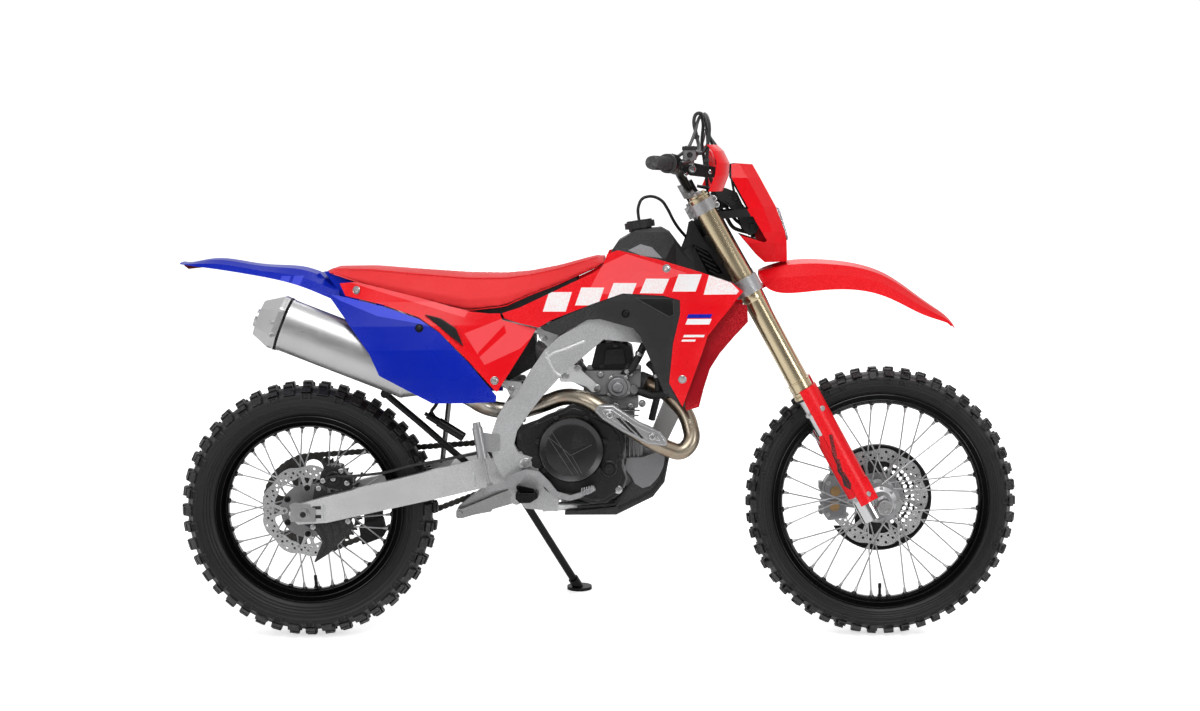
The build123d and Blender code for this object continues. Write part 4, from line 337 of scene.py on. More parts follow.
def make_groups():
    """The effects that several finishes share."""
    w, _, out = new_group("Machine Place", [], [("Place", "Vector")])
    back = (PARKED @ Matrix.Scale(1000, 4)).inverted()
    turn = w.add("Mapping", {
        0: w.coordinate(), "Location": back.to_translation(), "Rotation": back.to_euler(),
    })
    w.put(out.inputs[0], turn.outputs[0])

    # Lighter pointed edges: real wear on the metals and plastics, and a painted highlight on the rubber.
    w, given, out = new_group(
        "Edge Wear And Highlight", [("Amount", "Float", 0.5), ("Scale", "Float", 300.0)], [("Mask", "Float")]
    )
    point = w.span(w.add("NewGeometry").outputs["Pointiness"], 0.52, 0.6)
    patch = w.span(w.noise(w.coordinate(), given.outputs[1], 4.0), 0.42, 0.62)
    w.put(out.inputs[0], w.math("MULTIPLY", w.math("MULTIPLY", point, patch), given.outputs[0], clamp=True))

    w, given, out = new_group(
        "Fine Grain", [("Scale", "Float", 900.0)], [("Height", "Float"), ("Tone", "Float")]
    )
    place = w.coordinate()
    broad = w.noise(place, w.math("MULTIPLY", given.outputs[0], 0.02), 3.0)
    w.put(out.inputs[0], w.noise(place, given.outputs[0], 3.0))
    w.put(out.inputs[1], w.span(broad, 0.3, 0.7))

    w, given, out = new_group(
        "Brushed Lines", [("Place", "Vector", (0, 0, 0)), ("Scale", "Vector", (40, 900, 900))],
        [("Height", "Float")]
    )
    stretch = w.add("Mapping", {0: given.outputs[0], "Scale": given.outputs[1]})
    w.put(out.inputs[0], w.noise(stretch.outputs[0], 1.0, 4.0, 0.65))

    w, given, out = new_group("Settled Dust", [("Amount", "Float", 0.3)], [("Mask", "Float")])
    up = w.span(w.separate(w.add("NewGeometry").outputs["Normal"])[2], -0.5, 1.0, 0.25, 1.0)
    patch = w.span(w.noise(w.coordinate(), 38.0, 8.0, 0.7), 0.4, 0.75)
    w.put(out.inputs[0], w.math("MULTIPLY", w.math("MULTIPLY", patch, up), given.outputs[0], clamp=True))

    w, given, out = new_group(
        "Straight Edge",
        [("Place", "Vector", (0, 0, 0)), ("Across", "Vector", (1, 0, 0)), ("Offset", "Float", 0.0)],
        [("Distance", "Float")],
    )
    dot = w.add("VectorMath", {0: given.outputs[0], 1: given.outputs[1]}, operation="DOT_PRODUCT")
    w.put(out.inputs[0], w.math("SUBTRACT", dot.outputs["Value"], given.outputs[2]))


SOFT_EDGE = 0.0003  # metres, half the width over which one colour turns into the next


def planes_mask(w, place, planes):
    """Where all of several half planes hold: each is (direction, offset in millimetres)."""
    gaps = [
        w.group("Straight Edge", Place=place, Across=across, Offset=offset * MM).outputs[0]
        for across, offset in planes
    ]
    return w.span(reduce(lambda a, b: w.math("MINIMUM", a, b), gaps), -SOFT_EDGE, SOFT_EDGE)


def patch_mask(w, place, corners):
    """Mask of a convex patch whose (x, z) corners, in millimetres, lie on the panels."""
    planes = []
    middle = sum((Vector(c) for c in corners), Vector((0, 0))) / len(corners)
    for a, b in zip(corners, corners[1:] + corners[:1]):
        a, b = Vector(a), Vector(b)
        normal = Vector((-(b - a).y, (b - a).x)).normalized()
        if normal.dot(middle - a) < 0:
            normal = -normal
        planes.append(((normal.x, 0, normal.y), normal.dot(a)))
    return planes_mask(w, place, planes)


def any_mask(w, masks):
    """Where at least one of several masks holds."""
    return reduce(lambda a, b: w.math("MAXIMUM", a, b), masks)


FINISH = {}


class Finish:
    """One material of FINISH being built round a Principled shader."""

    def __init__(self, name, colour, roughness, metallic=0.0, **more):
        self.material = FINISH[name] = bpy.data.materials.new(name)
        self.material.use_nodes = True
        self.w = Wires(self.material.node_tree)
        self.shader = self.w.tree.nodes["Principled BSDF"]
        self.colour, self.roughness = colour, roughness
        self.shader.inputs["Base Color"].default_value = (*colour, 1)
        self.shader.inputs["Roughness"].default_value = roughness
        self.shader.inputs["Metallic"].default_value = metallic
        for key, value in more.items():
            self.shader.inputs[key.replace("_", " ")].default_value = value
        self.height, self.tint = None, colour

    def blend(self, mask, colour):
        self.tint = self.w.mix(mask, self.tint, colour)
        return self

    def tone(self, scale, spread):
        """Slow variation of the colour and the gloss."""
        tone = self.w.group("Fine Grain", Scale=scale * 50).outputs["Tone"]
        self.blend(self.w.math("MULTIPLY", tone, spread), tuple(c * 0.55 for c in self.colour))
        gloss = self.w.span(tone, 0.0, 1.0, self.roughness * 0.85, min(1.0, self.roughness * 1.2))
        self.w.put(self.shader.inputs["Roughness"], gloss)
        return self

    def patches(self, patches):
        """Fields of other colours: patches are (colour, list of corner lists)."""
        for colour, outlines in patches:
            place = self.place()
            self.blend(any_mask(self.w, [patch_mask(self.w, place, o) for o in outlines]), colour)
        return self

    def grain(self, scale, strength, depth=0.0002):
        grain = self.w.group("Fine Grain", Scale=scale)
        return self.bump(grain.outputs["Height"], strength, depth)

    def bump(self, height, strength, depth=0.0002):
        node = self.w.add("Bump", {"Height": height, "Strength": strength, "Distance": depth})
        if self.height is not None:
            self.w.put(node.inputs["Normal"], self.height)
        self.height = node.outputs[0]
        return self

    def wear_and_highlight(self, amount, colour, scale=300.0):
        return self.blend(self.w.group("Edge Wear And Highlight", Amount=amount, Scale=scale).outputs[0], colour)

    def dust(self, amount, colour=(0.33, 0.3, 0.26)):
        return self.blend(self.w.group("Settled Dust", Amount=amount).outputs[0], colour)

    def done(self):
        if isinstance(self.tint, bpy.types.NodeSocket):
            self.w.put(self.shader.inputs["Base Color"], self.tint)
        if self.height is not None:
            self.w.put(self.shader.inputs["Normal"], self.height)

    def place(self):
        return self.w.group("Machine Place").outputs[0]


# ---------------------------------------------------------------- finishes
def grey(value, cool=0.01):
    """A grey with a little more blue."""
    return (value, value, value + cool)


COVER_WINDOW = [(853, 887), (948, 887), (950, 846), (938, 840)]


def plastic(name, colour, roughness=0.32, patches=(), specular=0.2, grain=0.05, dust=0.02):
    """Moulded plastic with graphics, painted highlights and painted shade."""
    f = Finish(name, colour, roughness, Specular_IOR_Level=specular).tone(6, 0.12).patches(patches)
    f.wear_and_highlight(0.35, tuple(min(1, c * 1.3 + 0.05) for c in colour)).dust(dust).grain(1400, grain).done()


def metal(
    name, colour, roughness, grain=0.1, scale=1200,
    spread=0.25, wear_and_highlight=0.3, brush=None, dust=0.0, metallic=1.0, patches=()
):
    """Metal, brushed along its smallest scale where brush gives one scale for each direction."""
    f = Finish(name, colour, roughness, metallic).tone(8, spread)
    if brush:
        lines = f.w.group("Brushed Lines", Place=f.place(), Scale=brush).outputs[0]
        f.bump(lines, 0.25, 0.00012)
        gloss = f.w.span(lines, 0.3, 0.7, roughness * 0.8, roughness * 1.25)
        f.w.put(f.shader.inputs["Roughness"], gloss)
    f.grain(scale, grain)
    if wear_and_highlight:
        f.wear_and_highlight(wear_and_highlight, tuple(min(1, c * 1.5 + 0.05) for c in colour))
    if dust:
        f.dust(dust)
    f.patches(patches).done()


def rubber(name, colour, roughness, scale=800, strength=0.25, dust=0.15):
    """Rubber, with a painted highlight that makes it greyer at its edges, and a little dusty."""
    f = Finish(name, colour, roughness, Specular_IOR_Level=0.3).tone(5, 0.3)
    # painted highlight: lighter grey on the edges of the tread blocks and other rubber edges
    f.wear_and_highlight(0.8, tuple(c * 3.0 + 0.015 for c in colour), 180).dust(dust, (0.07, 0.068, 0.065))
    f.grain(scale, strength).done()


def slanted(x, low, wide, high, lean=16):
    """Corners of an upright bar that leans forwards."""
    return [(x, low), (x + lean, high), (x + lean + wide, high), (x + wide, low)]


def two_tone(name, first, second, parts, roughness):
    """A finish in two colours: each of parts is a list of half planes, as in planes_mask."""
    f = Finish(name, first, roughness, Specular_IOR_Level=0.28).tone(6, 0.12)
    place = f.place()
    f.blend(any_mask(f.w, [planes_mask(f.w, place, planes) for planes in parts]), second)
    f.grain(1400, 0.08).done()


def inside_shaded(name, outside, inside, arms):
    """A panel in one colour outside, another on its arms, and the other colour as painted shade on faces that
    look inwards or backwards.
    """
    f = Finish(name, outside, 0.27, Specular_IOR_Level=0.2).tone(6, 0.12)
    way = f.w.separate(f.w.coordinate("Normal"))
    across = f.w.separate(f.place())[1]
    # painted shade: the inside colour on faces that look inwards or backwards
    inward = f.w.span(f.w.math("MULTIPLY", across, way[1]), -0.004, -0.008)
    f.blend(f.w.math("MAXIMUM", inward, f.w.span(way[0], -0.45, -0.7)), inside)
    f.patches([(inside, [outline]) for outline in arms]).grain(1400, 0.08).done()


def make_finishes(tint):
    """Every material of FINISH, in the colours of the panel."""
    red, facet_highlight, blue = tuple(tint.red), tuple(tint.facet_highlight), tuple(tint.blue)
    # The lighter blue is a painted highlight.
    white, blue_highlight = tuple(tint.stripe), tuple(min(1, c * 1.6 + 0.05) for c in blue)
    plastic("red plastic", red, 0.28)
    stripes = [
        slanted(x, 842 + 0.19 * min(x - 560, 330), 58, 905 + 0.14 * (x - 640))
        for x in (618, 700, 782, 864, 946)
    ]
    stripes.append([(1024, 897), (1038, 946), (1092, 927), (1113, 905), (1106, 897)])
    plastic("shroud red", red, 0.26, [
        # painted highlight: a lighter red field on the upper facets of the shroud
        (facet_highlight, [
            [(770, 970), (792, 1010), (1130, 905), (1108, 893), (800, 897), (640, 850), (560, 830), (509, 850)]
        ]),
        (white, stripes + [
            slanted(978, 822, 60, 836, 6), slanted(972, 790, 52, 796, 3), slanted(968, 779, 34, 784, 2)
        ]),
        (blue, [slanted(981, 838, 60, 848, 5)]),
        # painted shade: darker red over the shroud's front lower wing, which lies in shade
        ((0.3, 0.002, 0.008), [
            [(1034, 793), (1112, 884), (1150, 900), (1150, 700), (1028, 773)],
            [(1028, 773), (1150, 700), (1100, 560), (985, 560), (970, 612)],
        ]),
    ])
    plastic("panel red", red, 0.26, [
        # painted highlight: lighter red fields on the upper facets of the side panel
        (facet_highlight, [
            [(60, 950), (60, 962), (430, 856), (420, 840)],
            [(420, 800), (520, 838), (612, 812), (560, 760), (470, 720)],
        ]),
        (red, [[(452, 735), (455, 752), (520, 820), (525, 800)]]),
    ])
    plastic("blue plastic", blue, 0.3, [
        # painted highlight: lighter blue along the top facet of the side plates
        (blue_highlight, [[(60, 910), (214, 872), (307, 840), (330, 822), (200, 846), (104, 884)]]),
    ], 0.14)
    plastic("fender blue", tuple(c * 1.1 for c in blue), 0.3, [
        # painted highlight: two lighter blue bars near the tail of the rear fender
        (blue_highlight, [slanted(x, 905, 24, 945, 14) for x in (-66, -34)]),
    ], 0.12)
    dark = grey(0.02, 0.001)
    plastic("black plastic", dark, 0.5, grain=0.3)
    plastic("grey plastic", grey(0.021, 0.0015), 0.46, specular=0.3, grain=0.25)
    inside_shaded("cowl red", red, dark, [[(1020, 1070), (1020, 1120), (1129, 1120), (1146, 1092), (1136, 1070)]])
    two_tone("guard red", red, dark, [[((-1, 0, 0), -1030), ((0, 0, 1), 1190), ((0, 0, -1), -1232)]], 0.28)
    two_tone("case black", grey(0.007, 0.0005), grey(0.16, 0.005), [[((1, 0, 0), 815), ((0, 0, 1), 400)]], 0.36)
    two_tone("head castings", grey(0.22, 0.005), grey(0.012, 0.001), [[((0, 0, 1), 697)]], 0.42)
    plastic("cover plastic", grey(0.021, 0.0015), 0.46, [(grey(0.001, 0.0002), [COVER_WINDOW])], 0.22, 0.25)
    plastic("tank plastic", grey(0.024, 0.0015), 0.46, [
        (grey(0.30), [[(835, 1006), (866, 1021), (895, 1013), (921, 986), (870, 992)]]),
    ], grain=0.25)
    rubber("tyre rubber", grey(0.0125, 0.0005), 0.42, 600, 0.4, 0.06)
    rubber("grip rubber", grey(0.045, 0.001), 0.6, dust=0.05)
    rubber("hose rubber", grey(0.012, 0.001), 0.42, 1200, 0.1, 0.05)
    neck = [(925, 1010), (960, 1080), (985, 1140), (1110, 1140), (1140, 900), (1030, 880), (960, 930)]
    for name, patches in (("frame alloy", []), ("main frame alloy", [(grey(0.03, 0.001), [neck])])):
        metal(name, tuple(tint.frame), 0.42, 0.2, 1100, brush=(60, 300, 500), metallic=0.85, patches=patches)
    metal("rim edge", grey(0.03, 0.001), 0.22, 0.05, wear_and_highlight=0.1)
    metal("caliper alloy", grey(0.30), 0.42, 0.5, 700, metallic=0.85)
    plastic("fork guard red", red, 0.26, [
        (dark, [
            [(1340, 538), (1349, 538), (1361, 482), (1359, 462), (1349, 486)],
            [(1357, 479), (1367, 475), (1377, 439), (1376, 426), (1363, 442)],
            [(1369, 444), (1379, 444), (1397, 412), (1395, 396), (1379, 406)],
        ]),
    ])
    metal("cover rim", grey(0.055, 0.002), 0.24, 0.05, wear_and_highlight=0.1)
    metal("cover line", grey(0.2, 0.005), 0.3, 0.05, wear_and_highlight=0.0)
    metal("swingarm alloy", grey(0.66, 0.005), 0.4, 0.15, 1100, brush=(40, 500, 500), metallic=0.85)
    metal("clamp alloy", grey(0.42), 0.38, 0.5, 700, metallic=0.9)
    metal("hub alloy", grey(0.40), 0.4, 0.25, 900)
    metal("rear hub alloy", grey(0.22, 0.005), 0.42, 0.3, 900)
    metal("cast alloy", grey(0.24), 0.46, 0.6, 600, dust=0.1, metallic=0.8)
    metal("bright alloy", grey(0.58), 0.3, 0.02, spread=0.1, wear_and_highlight=0.0)
    metal("silencer alloy", grey(0.5, 0.005), 0.34, 0.08, brush=(60, 700, 300), metallic=0.9)
    metal("gold alloy", tuple(tint.gold), 0.24, 0.06, spread=0.1, wear_and_highlight=0.1)
    metal("slider chrome", grey(0.55), 0.14, 0.03, spread=0.15, wear_and_highlight=0.0)
    metal("spoke steel", grey(0.40), 0.3, 0.05, wear_and_highlight=0.1)
    metal("disc steel", grey(0.6), 0.26, 0.1, spread=0.2, brush=(500, 500, 500))
    metal("plated steel", grey(0.46, 0), 0.3, 0.1)
    metal("chain steel", (0.05, 0.048, 0.045), 0.4, 0.2, dust=0.1)
    metal("black steel", grey(0.02, 0.001), 0.35, 0.1)
    metal("black rim", grey(0.007, 0.0005), 0.24, 0.05, wear_and_highlight=0.2)
    metal("bronze", (0.42, 0.27, 0.13), 0.34, 0.1)
    heated_steel()
    plastic("engine black", grey(0.0065, 0.0005), 0.3, specular=0.4, grain=0.35)
    seat_cover(tuple(tint.seat))
    glassy("clear lens", (0.95, 0.97, 1.0))
    plastic("red lens", (0.12, 0.003, 0.004), 0.15)


def heated_steel():
    """Header pipe steel, bronze where it is hot and straw-grey further back."""
    f = Finish("header steel", (0.36, 0.31, 0.24), 0.3, 1.0).tone(10, 0.35)
    f.blend(f.w.span(f.w.separate(f.place())[0], 0.75, 0.45), (0.40, 0.38, 0.345))
    f.blend(f.w.span(f.w.noise(f.place(), 26.0, 5.0), 0.5, 0.72, 0.0, 0.7), (0.34, 0.22, 0.15))
    f.grain(1500, 0.08).done()


def seat_cover(colour):
    """Grippy coral vinyl with a fine pebbled weave."""
    f = Finish("seat cover", colour, 0.62, Specular_IOR_Level=0.25, Sheen_Weight=0.15, Sheen_Roughness=0.4)
    pebbles = f.w.add("TexVoronoi", {0: f.w.coordinate(), "Scale": 620.0}).outputs["Distance"]
    f.bump(f.w.span(pebbles, 0.0, 0.6, 1.0, 0.0), 0.35, 0.0003).tone(5, 0.1)
    # painted shade: darker red in the hollows between the pebbles
    f.blend(f.w.span(pebbles, 0.5, 0.8, 0.0, 0.25), (0.5, 0.012, 0.014)).done()


def glassy(name, colour):
    """Clear moulded lens."""
    f = Finish(name, colour, 0.06, 0.0, Transmission_Weight=0.9, IOR=1.49)
    f.bump(f.w.noise(f.w.coordinate(), 220.0, 1.0), 0.12, 0.0003).done()


CARRIED = {
    "tyre rubber": "front_tyre rear_tyre",
    "black rim": "front_rim rear_rim",
    "spoke steel": "front_spokes rear_spokes",
    "hub alloy": "front_hub",
    "rear hub alloy": "rear_hub",
    "disc steel": "front_brake_disc rear_brake_disc",
    "plated steel": "front_axle rear_axle swingarm_pivot shock_linkage gear_lever",
    "clamp alloy": "triple_clamps brake_pedal",
    "bright alloy": "heat_shield",
    "chain steel": "drive_chain rear_sprocket",
    "frame alloy": "frame_cradle subframe",
    "swingarm alloy": "swingarm",
    "main frame alloy": "main_frame",
    "cast alloy": "radiators throttle_body",
    "case black": "crankcase",
    "head castings": "cylinder",
    "tank plastic": "fuel_tank",
    "engine black": "engine_covers",
    "black steel": "handlebar levers side_stand shock_absorber rear_caliper footpegs",
    "header steel": "exhaust_header",
    "silencer alloy": "silencer",
    "grey plastic": "skid_plate",
    "cover plastic": "shroud_covers",
    "black plastic": "airbox swingarm_guards front_disc_guard",
    "shroud red": "radiator_shrouds",
    "panel red": "side_panels",
    "red plastic": "front_fender",
    "cowl red": "headlight_cowl",
    "guard red": "hand_guards",
    "blue plastic": "number_plates",
    "fender blue": "rear_fender",
    "seat cover": "seat",
    "gold alloy": "fork_tubes",
    "fork guard red": "fork_guards",
    "caliper alloy": "front_caliper",
    "slider chrome": "fork_sliders",
    "clear lens": "headlight_lens",
    "red lens": "tail_light",
    "grip rubber": "grips",
    "hose rubber": "control_cables vent_hose",
}


def base(cls):
    """Common fields of this file's operators."""
    cls.bl_options = {"REGISTER", "UNDO"}
    CLASSES.append(cls)
    return cls


CLASSES = []


# ---------------------------------------------------------------- stage
EYE, AIM = Vector((906, -6000, 1247)), Vector((759, 0, 730))
ROLL = -0.42  # degrees, of the camera
FLOOR_GLOW, FLOOR_GLOW_MIRRORED, SKY_LIGHT = 0.62, 0.4, 0.42
LAMPS = (  # name, place, width, power
    ("key lamp", (0.3, -2.4, 4.4), 2.4, 95),
    ("fill lamp", (-2.8, -3.4, 2.2), 1.6, 26),
    ("rim lamp", (1.0, 3.2, 3.4), 2.4, 45),
    ("side strip", (2.9, -2.4, 1.6), 1.0, 20),
)


@base
class MOTORCYCLE_OT_stage(Operator):
    """White studio floor, soft lamps and the camera at the rider's right"""

    bl_idname = "motorcycle.stage"
    bl_label = "Stage"

    def execute(self, context):
        scene = context.scene
        scene.view_settings.view_transform = "Standard"
        settings = scene.motorcycle_sizes
        camera = bpy.data.objects.new("camera", bpy.data.cameras.new("camera"))
        scene.collection.objects.link(camera)
        scene.camera = camera
        camera.data.lens, camera.data.sensor_width = settings.lens, 36.0
        turn = (AIM - EYE).to_track_quat("-Z", "Y").to_matrix().to_4x4()
        upright = PARKED @ Matrix.Translation(EYE) @ (turn @ Matrix.Rotation(radians(ROLL), 4, "Z"))
        place, rotation, _ = upright.decompose()
        camera.matrix_world = Matrix.LocRotScale(place, rotation, (1, 1, 1))
        camera.data.clip_start, camera.data.clip_end = 0.1, 100
        self.floor()
        self.lamps(scene)
        return {"FINISHED"}

    def floor(self):
        bm = bmesh.new()
        bmesh.ops.create_grid(bm, x_segments=1, y_segments=1, size=30)
        mesh = bpy.data.meshes.new("floor")
        bm.to_mesh(mesh)
        bm.free()
        floor = bpy.data.objects.new("floor", mesh)
        bpy.context.scene.collection.objects.link(floor)
        material = bpy.data.materials.new("studio floor")
        material.use_nodes = True
        w = Wires(material.node_tree)
        shader = w.tree.nodes["Principled BSDF"]
        grain = w.span(w.noise(w.coordinate(), 3.0, 2.0), 0.3, 0.7)
        w.put(shader.inputs["Base Color"], w.mix(grain, (0.96, 0.96, 0.96), (0.98, 0.98, 0.98)))
        shader.inputs["Roughness"].default_value = 0.9
        shader.inputs["Emission Color"].default_value = (1, 1, 1, 1)
        path = w.add("LightPath")
        mirrored = w.math("MULTIPLY", path.outputs["Is Glossy Ray"], FLOOR_GLOW_MIRRORED)
        seen = w.math("MAXIMUM", path.outputs["Is Camera Ray"], mirrored)
        w.put(shader.inputs["Emission Strength"], w.math("MULTIPLY", seen, FLOOR_GLOW))
        mesh.materials.append(material)

    def lamps(self, scene):
        world = bpy.data.worlds.new("studio")
        scene.world = world
        world.use_nodes = True
        w = Wires(world.node_tree)
        background = w.tree.nodes["Background"]
        path = w.add("LightPath").outputs
        side = w.separate(w.coordinate("Generated"))
        mirrored = w.math(
            "MAXIMUM", w.span(side[1], -0.45, 0.35, 0.22, 1.0), w.span(side[2], 0.35, 0.8, 0.0, 1.0)
        )
        mirrored = w.math("MULTIPLY", mirrored, path["Is Glossy Ray"])
        seen = w.math(
            "MAXIMUM", w.math("MAXIMUM", mirrored, path["Is Transmission Ray"]), path["Is Camera Ray"]
        )
        lit = w.math("MULTIPLY", w.math("SUBTRACT", 1.0, path["Is Glossy Ray"]), SKY_LIGHT)
        w.put(background.inputs["Strength"], w.math("MAXIMUM", seen, lit))
        background.inputs["Color"].default_value = (1, 1, 1, 1)
        for name, place, size, power in LAMPS:
            data = bpy.data.lights.new(name, "AREA")
            data.size, data.energy = size, power
            lamp = bpy.data.objects.new(name, data)
            scene.collection.objects.link(lamp)
            lamp.location = place
            lamp.rotation_mode = "QUATERNION"
            lamp.rotation_quaternion = (Vector((0, 0, 0.6)) - Vector(place)).to_track_quat("-Z", "Y")


@base
class MOTORCYCLE_OT_finishes(Operator):
    """Node materials for every piece that the machine's frame brings along"""

    bl_idname = "motorcycle.finishes"
    bl_label = "Finishes"

    def execute(self, context):
        make_groups()
        make_finishes(context.scene.motorcycle_colours)
        for finish, names in CARRIED.items():
            for name in names.split():
                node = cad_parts[name]
                node.data.materials.clear()
                node.data.materials.append(FINISH[finish])
        return {"FINISHED"}


# ---------------------------------------------------------------- tyres
CROWN = 55.0  # radius of both treads across the tyre


def tyre_outline(radius, half, flange, bead_y):
    """Points (radius, y) over one half of the tyre, from the crown to the bead."""
    points = []
    for i in range(9):
        y = 0.62 * half * i / 8
        points.append((radius - CROWN + sqrt(CROWN ** 2 - y * y), y))
    edge_r = points[-1][0]
    curve = points[-2:] + [
        (edge_r - 0.16 * (edge_r - flange), 0.9 * half), (flange + 0.45 * (radius - flange), half),
        (flange + 5, bead_y + 3), (flange - 1.5, bead_y),
    ]
    smooth = eased([(r, y, 0) for r, y in curve], 8)[9:]
    return points + [(v.x, v.y) for v in smooth]


def outline_at(outline, share):
    """Point and outward direction at a share of the outline's length."""
    lengths = [0.0]
    for a, b in zip(outline, outline[1:]):
        lengths.append(lengths[-1] + hypot(b[0] - a[0], b[1] - a[1]))
    want = min(max(share, 0.0), 0.9999) * lengths[-1]
    for i in range(len(outline) - 1):
        if lengths[i + 1] >= want:
            t = (want - lengths[i]) / max(lengths[i + 1] - lengths[i], 1e-6)
            (r0, y0), (r1, y1) = outline[i], outline[i + 1]
            along = Vector((r1 - r0, y1 - y0)).normalized()
            return Vector((r0 + (r1 - r0) * t, y0 + (y1 - y0) * t)), Vector((along.y, -along.x))


def draw_tyre(name, body, centre, wheel, rows, pattern, depth):
    """A knobby tyre: a carcass with rings on its wall, and rows of tread blocks that end on the outline.

    wheel is (radius, half width, flange radius, y of the bead). Each block in pattern is
    (start, end, length, shift), in shares of the outline and of the pitch, and perhaps a 1 for a hollow.
    """
    outline = tyre_outline(*wheel)
    _, _, flange, bead_y = wheel
    d = Draft(Matrix.Translation(centre))
    profile = []
    for i in range(61):
        share = i / 60
        p, out = outline_at(outline, share)
        deep = min(1, max(0, (share - 0.38) / 0.12))
        sink = depth + (5.0 - depth) * deep - 4.4 * min(1, max(0, (share - 0.66) / 0.06))
        if 0.74 < share < 0.94 and i % 4 == 1:
            sink += 1.4
        q = p - out * sink
        profile.append((q.x, q.y))
    whole = [(r, -y) for r, y in reversed(profile[1:])] + profile
    inside = [
        (flange - 4, bead_y - 5), (flange + 14, bead_y - 4), (flange + 14, 4 - bead_y), (flange - 4, 5 - bead_y)
    ]
    d.loft([
        [(r * cos(a), y, r * sin(a)) for r, y in whole + inside]
        for a in [2 * pi * k / 160 for k in range(160)]
    ], loop=True)
    pitch = 2 * pi / rows
    for k in range(rows):
        for start, end, length, shift, *cup in pattern[k % len(pattern)]:
            for side in ((1, -1) if start >= 0 else (1,)):
                block(d, outline, side, start, end, k * pitch + shift * pitch, length * pitch, depth, cup)
    return d.finish(name, body, "tyre rubber", "tyre", 30)


def block(d, outline, side, start, end, angle, length, depth, cup):
    """One tread block, from start to end across the tyre, with eased top edges and perhaps a hollow."""
    steps = max(2, int(abs(end - start) / 0.07) + 1)
    levels = [
        (-(depth + 1.5), 1.08, 0.004), (-depth * 0.35, 1.0, 0.0), (-1.0, 0.97, -0.002), (-0.05, 0.87, -0.008)
    ]
    if cup:
        levels += [(-0.05, 0.62, -0.026), (-2.6, 0.54, -0.031)]
    rings = []
    for lift, scale, spread in levels:
        ring, low, high = [], start - spread, end + spread
        shares = [low + (high - low) * i / steps for i in range(steps + 1)]
        for sign in (-1, 1):
            for share in (shares if sign < 0 else shares[::-1]):
                p, out = outline_at(outline, abs(share))
                r, y = p.x + out.x * lift, p.y + out.y * lift
                a = angle + sign * length * scale / 2
                ring.append((r * cos(a), side * (-y if share < 0 else y), r * sin(a)))
        rings.append(ring)
    d.loft(rings)


@base
class MOTORCYCLE_OT_tyres(Operator):
    """Knobby front and rear tyres over the plain ones"""

    bl_idname = "motorcycle.tyres"
    bl_label = "Tyres"

    def execute(self, context):
        sizes = context.scene.motorcycle_sizes
        front = [
            [
                (-0.075, 0.075, 0.5, 0), (0.175, 0.245, 0.42, 0.1), (0.28, 0.45, 0.58, 0),
                (0.50, 0.62, 0.42, 0.1, 1)
            ],
            [(0.05, 0.135, 0.5, 0), (0.21, 0.27, 0.46, -0.08), (0.32, 0.52, 0.46, 0.05)],
            [
                (-0.075, 0.075, 0.5, 0), (0.175, 0.245, 0.42, 0.1), (0.28, 0.43, 0.58, 0),
                (0.47, 0.58, 0.36, -0.1, 1)
            ],
            [
                (0.05, 0.135, 0.5, 0), (0.21, 0.27, 0.46, -0.08), (0.34, 0.47, 0.50, 0.05, 1),
                (0.55, 0.66, 0.34, 0.1, 1)
            ],
        ]
        wheel = (349.5, 45, 280, 21.2)
        piece = draw_tyre(
            "front_knobby_tyre", "front_wheel", FRONT_AXLE, wheel, sizes.front_rows, front, sizes.front_depth
        )
        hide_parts("front_tyre")
        rear = [
            [(-0.09, 0.09, 0.52, 0), (0.15, 0.24, 0.52, 0.08), (0.29, 0.48, 0.66, 0.0)],
            [
                (0.035, 0.125, 0.5, 0), (0.195, 0.275, 0.5, -0.06), (0.31, 0.43, 0.56, 0.0),
                (0.465, 0.60, 0.60, 0.0, 1)
            ],
        ]
        wheel = (335, 56, 246, 27.2)
        piece = draw_tyre(
            "rear_knobby_tyre", "rear_wheel", REAR_AXLE, wheel, sizes.rear_rows, rear, sizes.rear_depth
        )
        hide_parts("rear_tyre")
        return {"FINISHED"}


# ---------------------------------------------------------------- wheels and brakes
SPOKES = 36
# name, body, middle, well radius, flange radius, half width, hub radius, hub half width, lean of the spokes
# and turn of the valve in degrees
WHEELS = (
    ("front", "front_wheel", FRONT_AXLE, 253, 280, 25, 46, 31, 44, -90),
    ("rear", "rear_wheel", REAR_AXLE, 213, 246, 31, 56, 30, 34, -87),
)


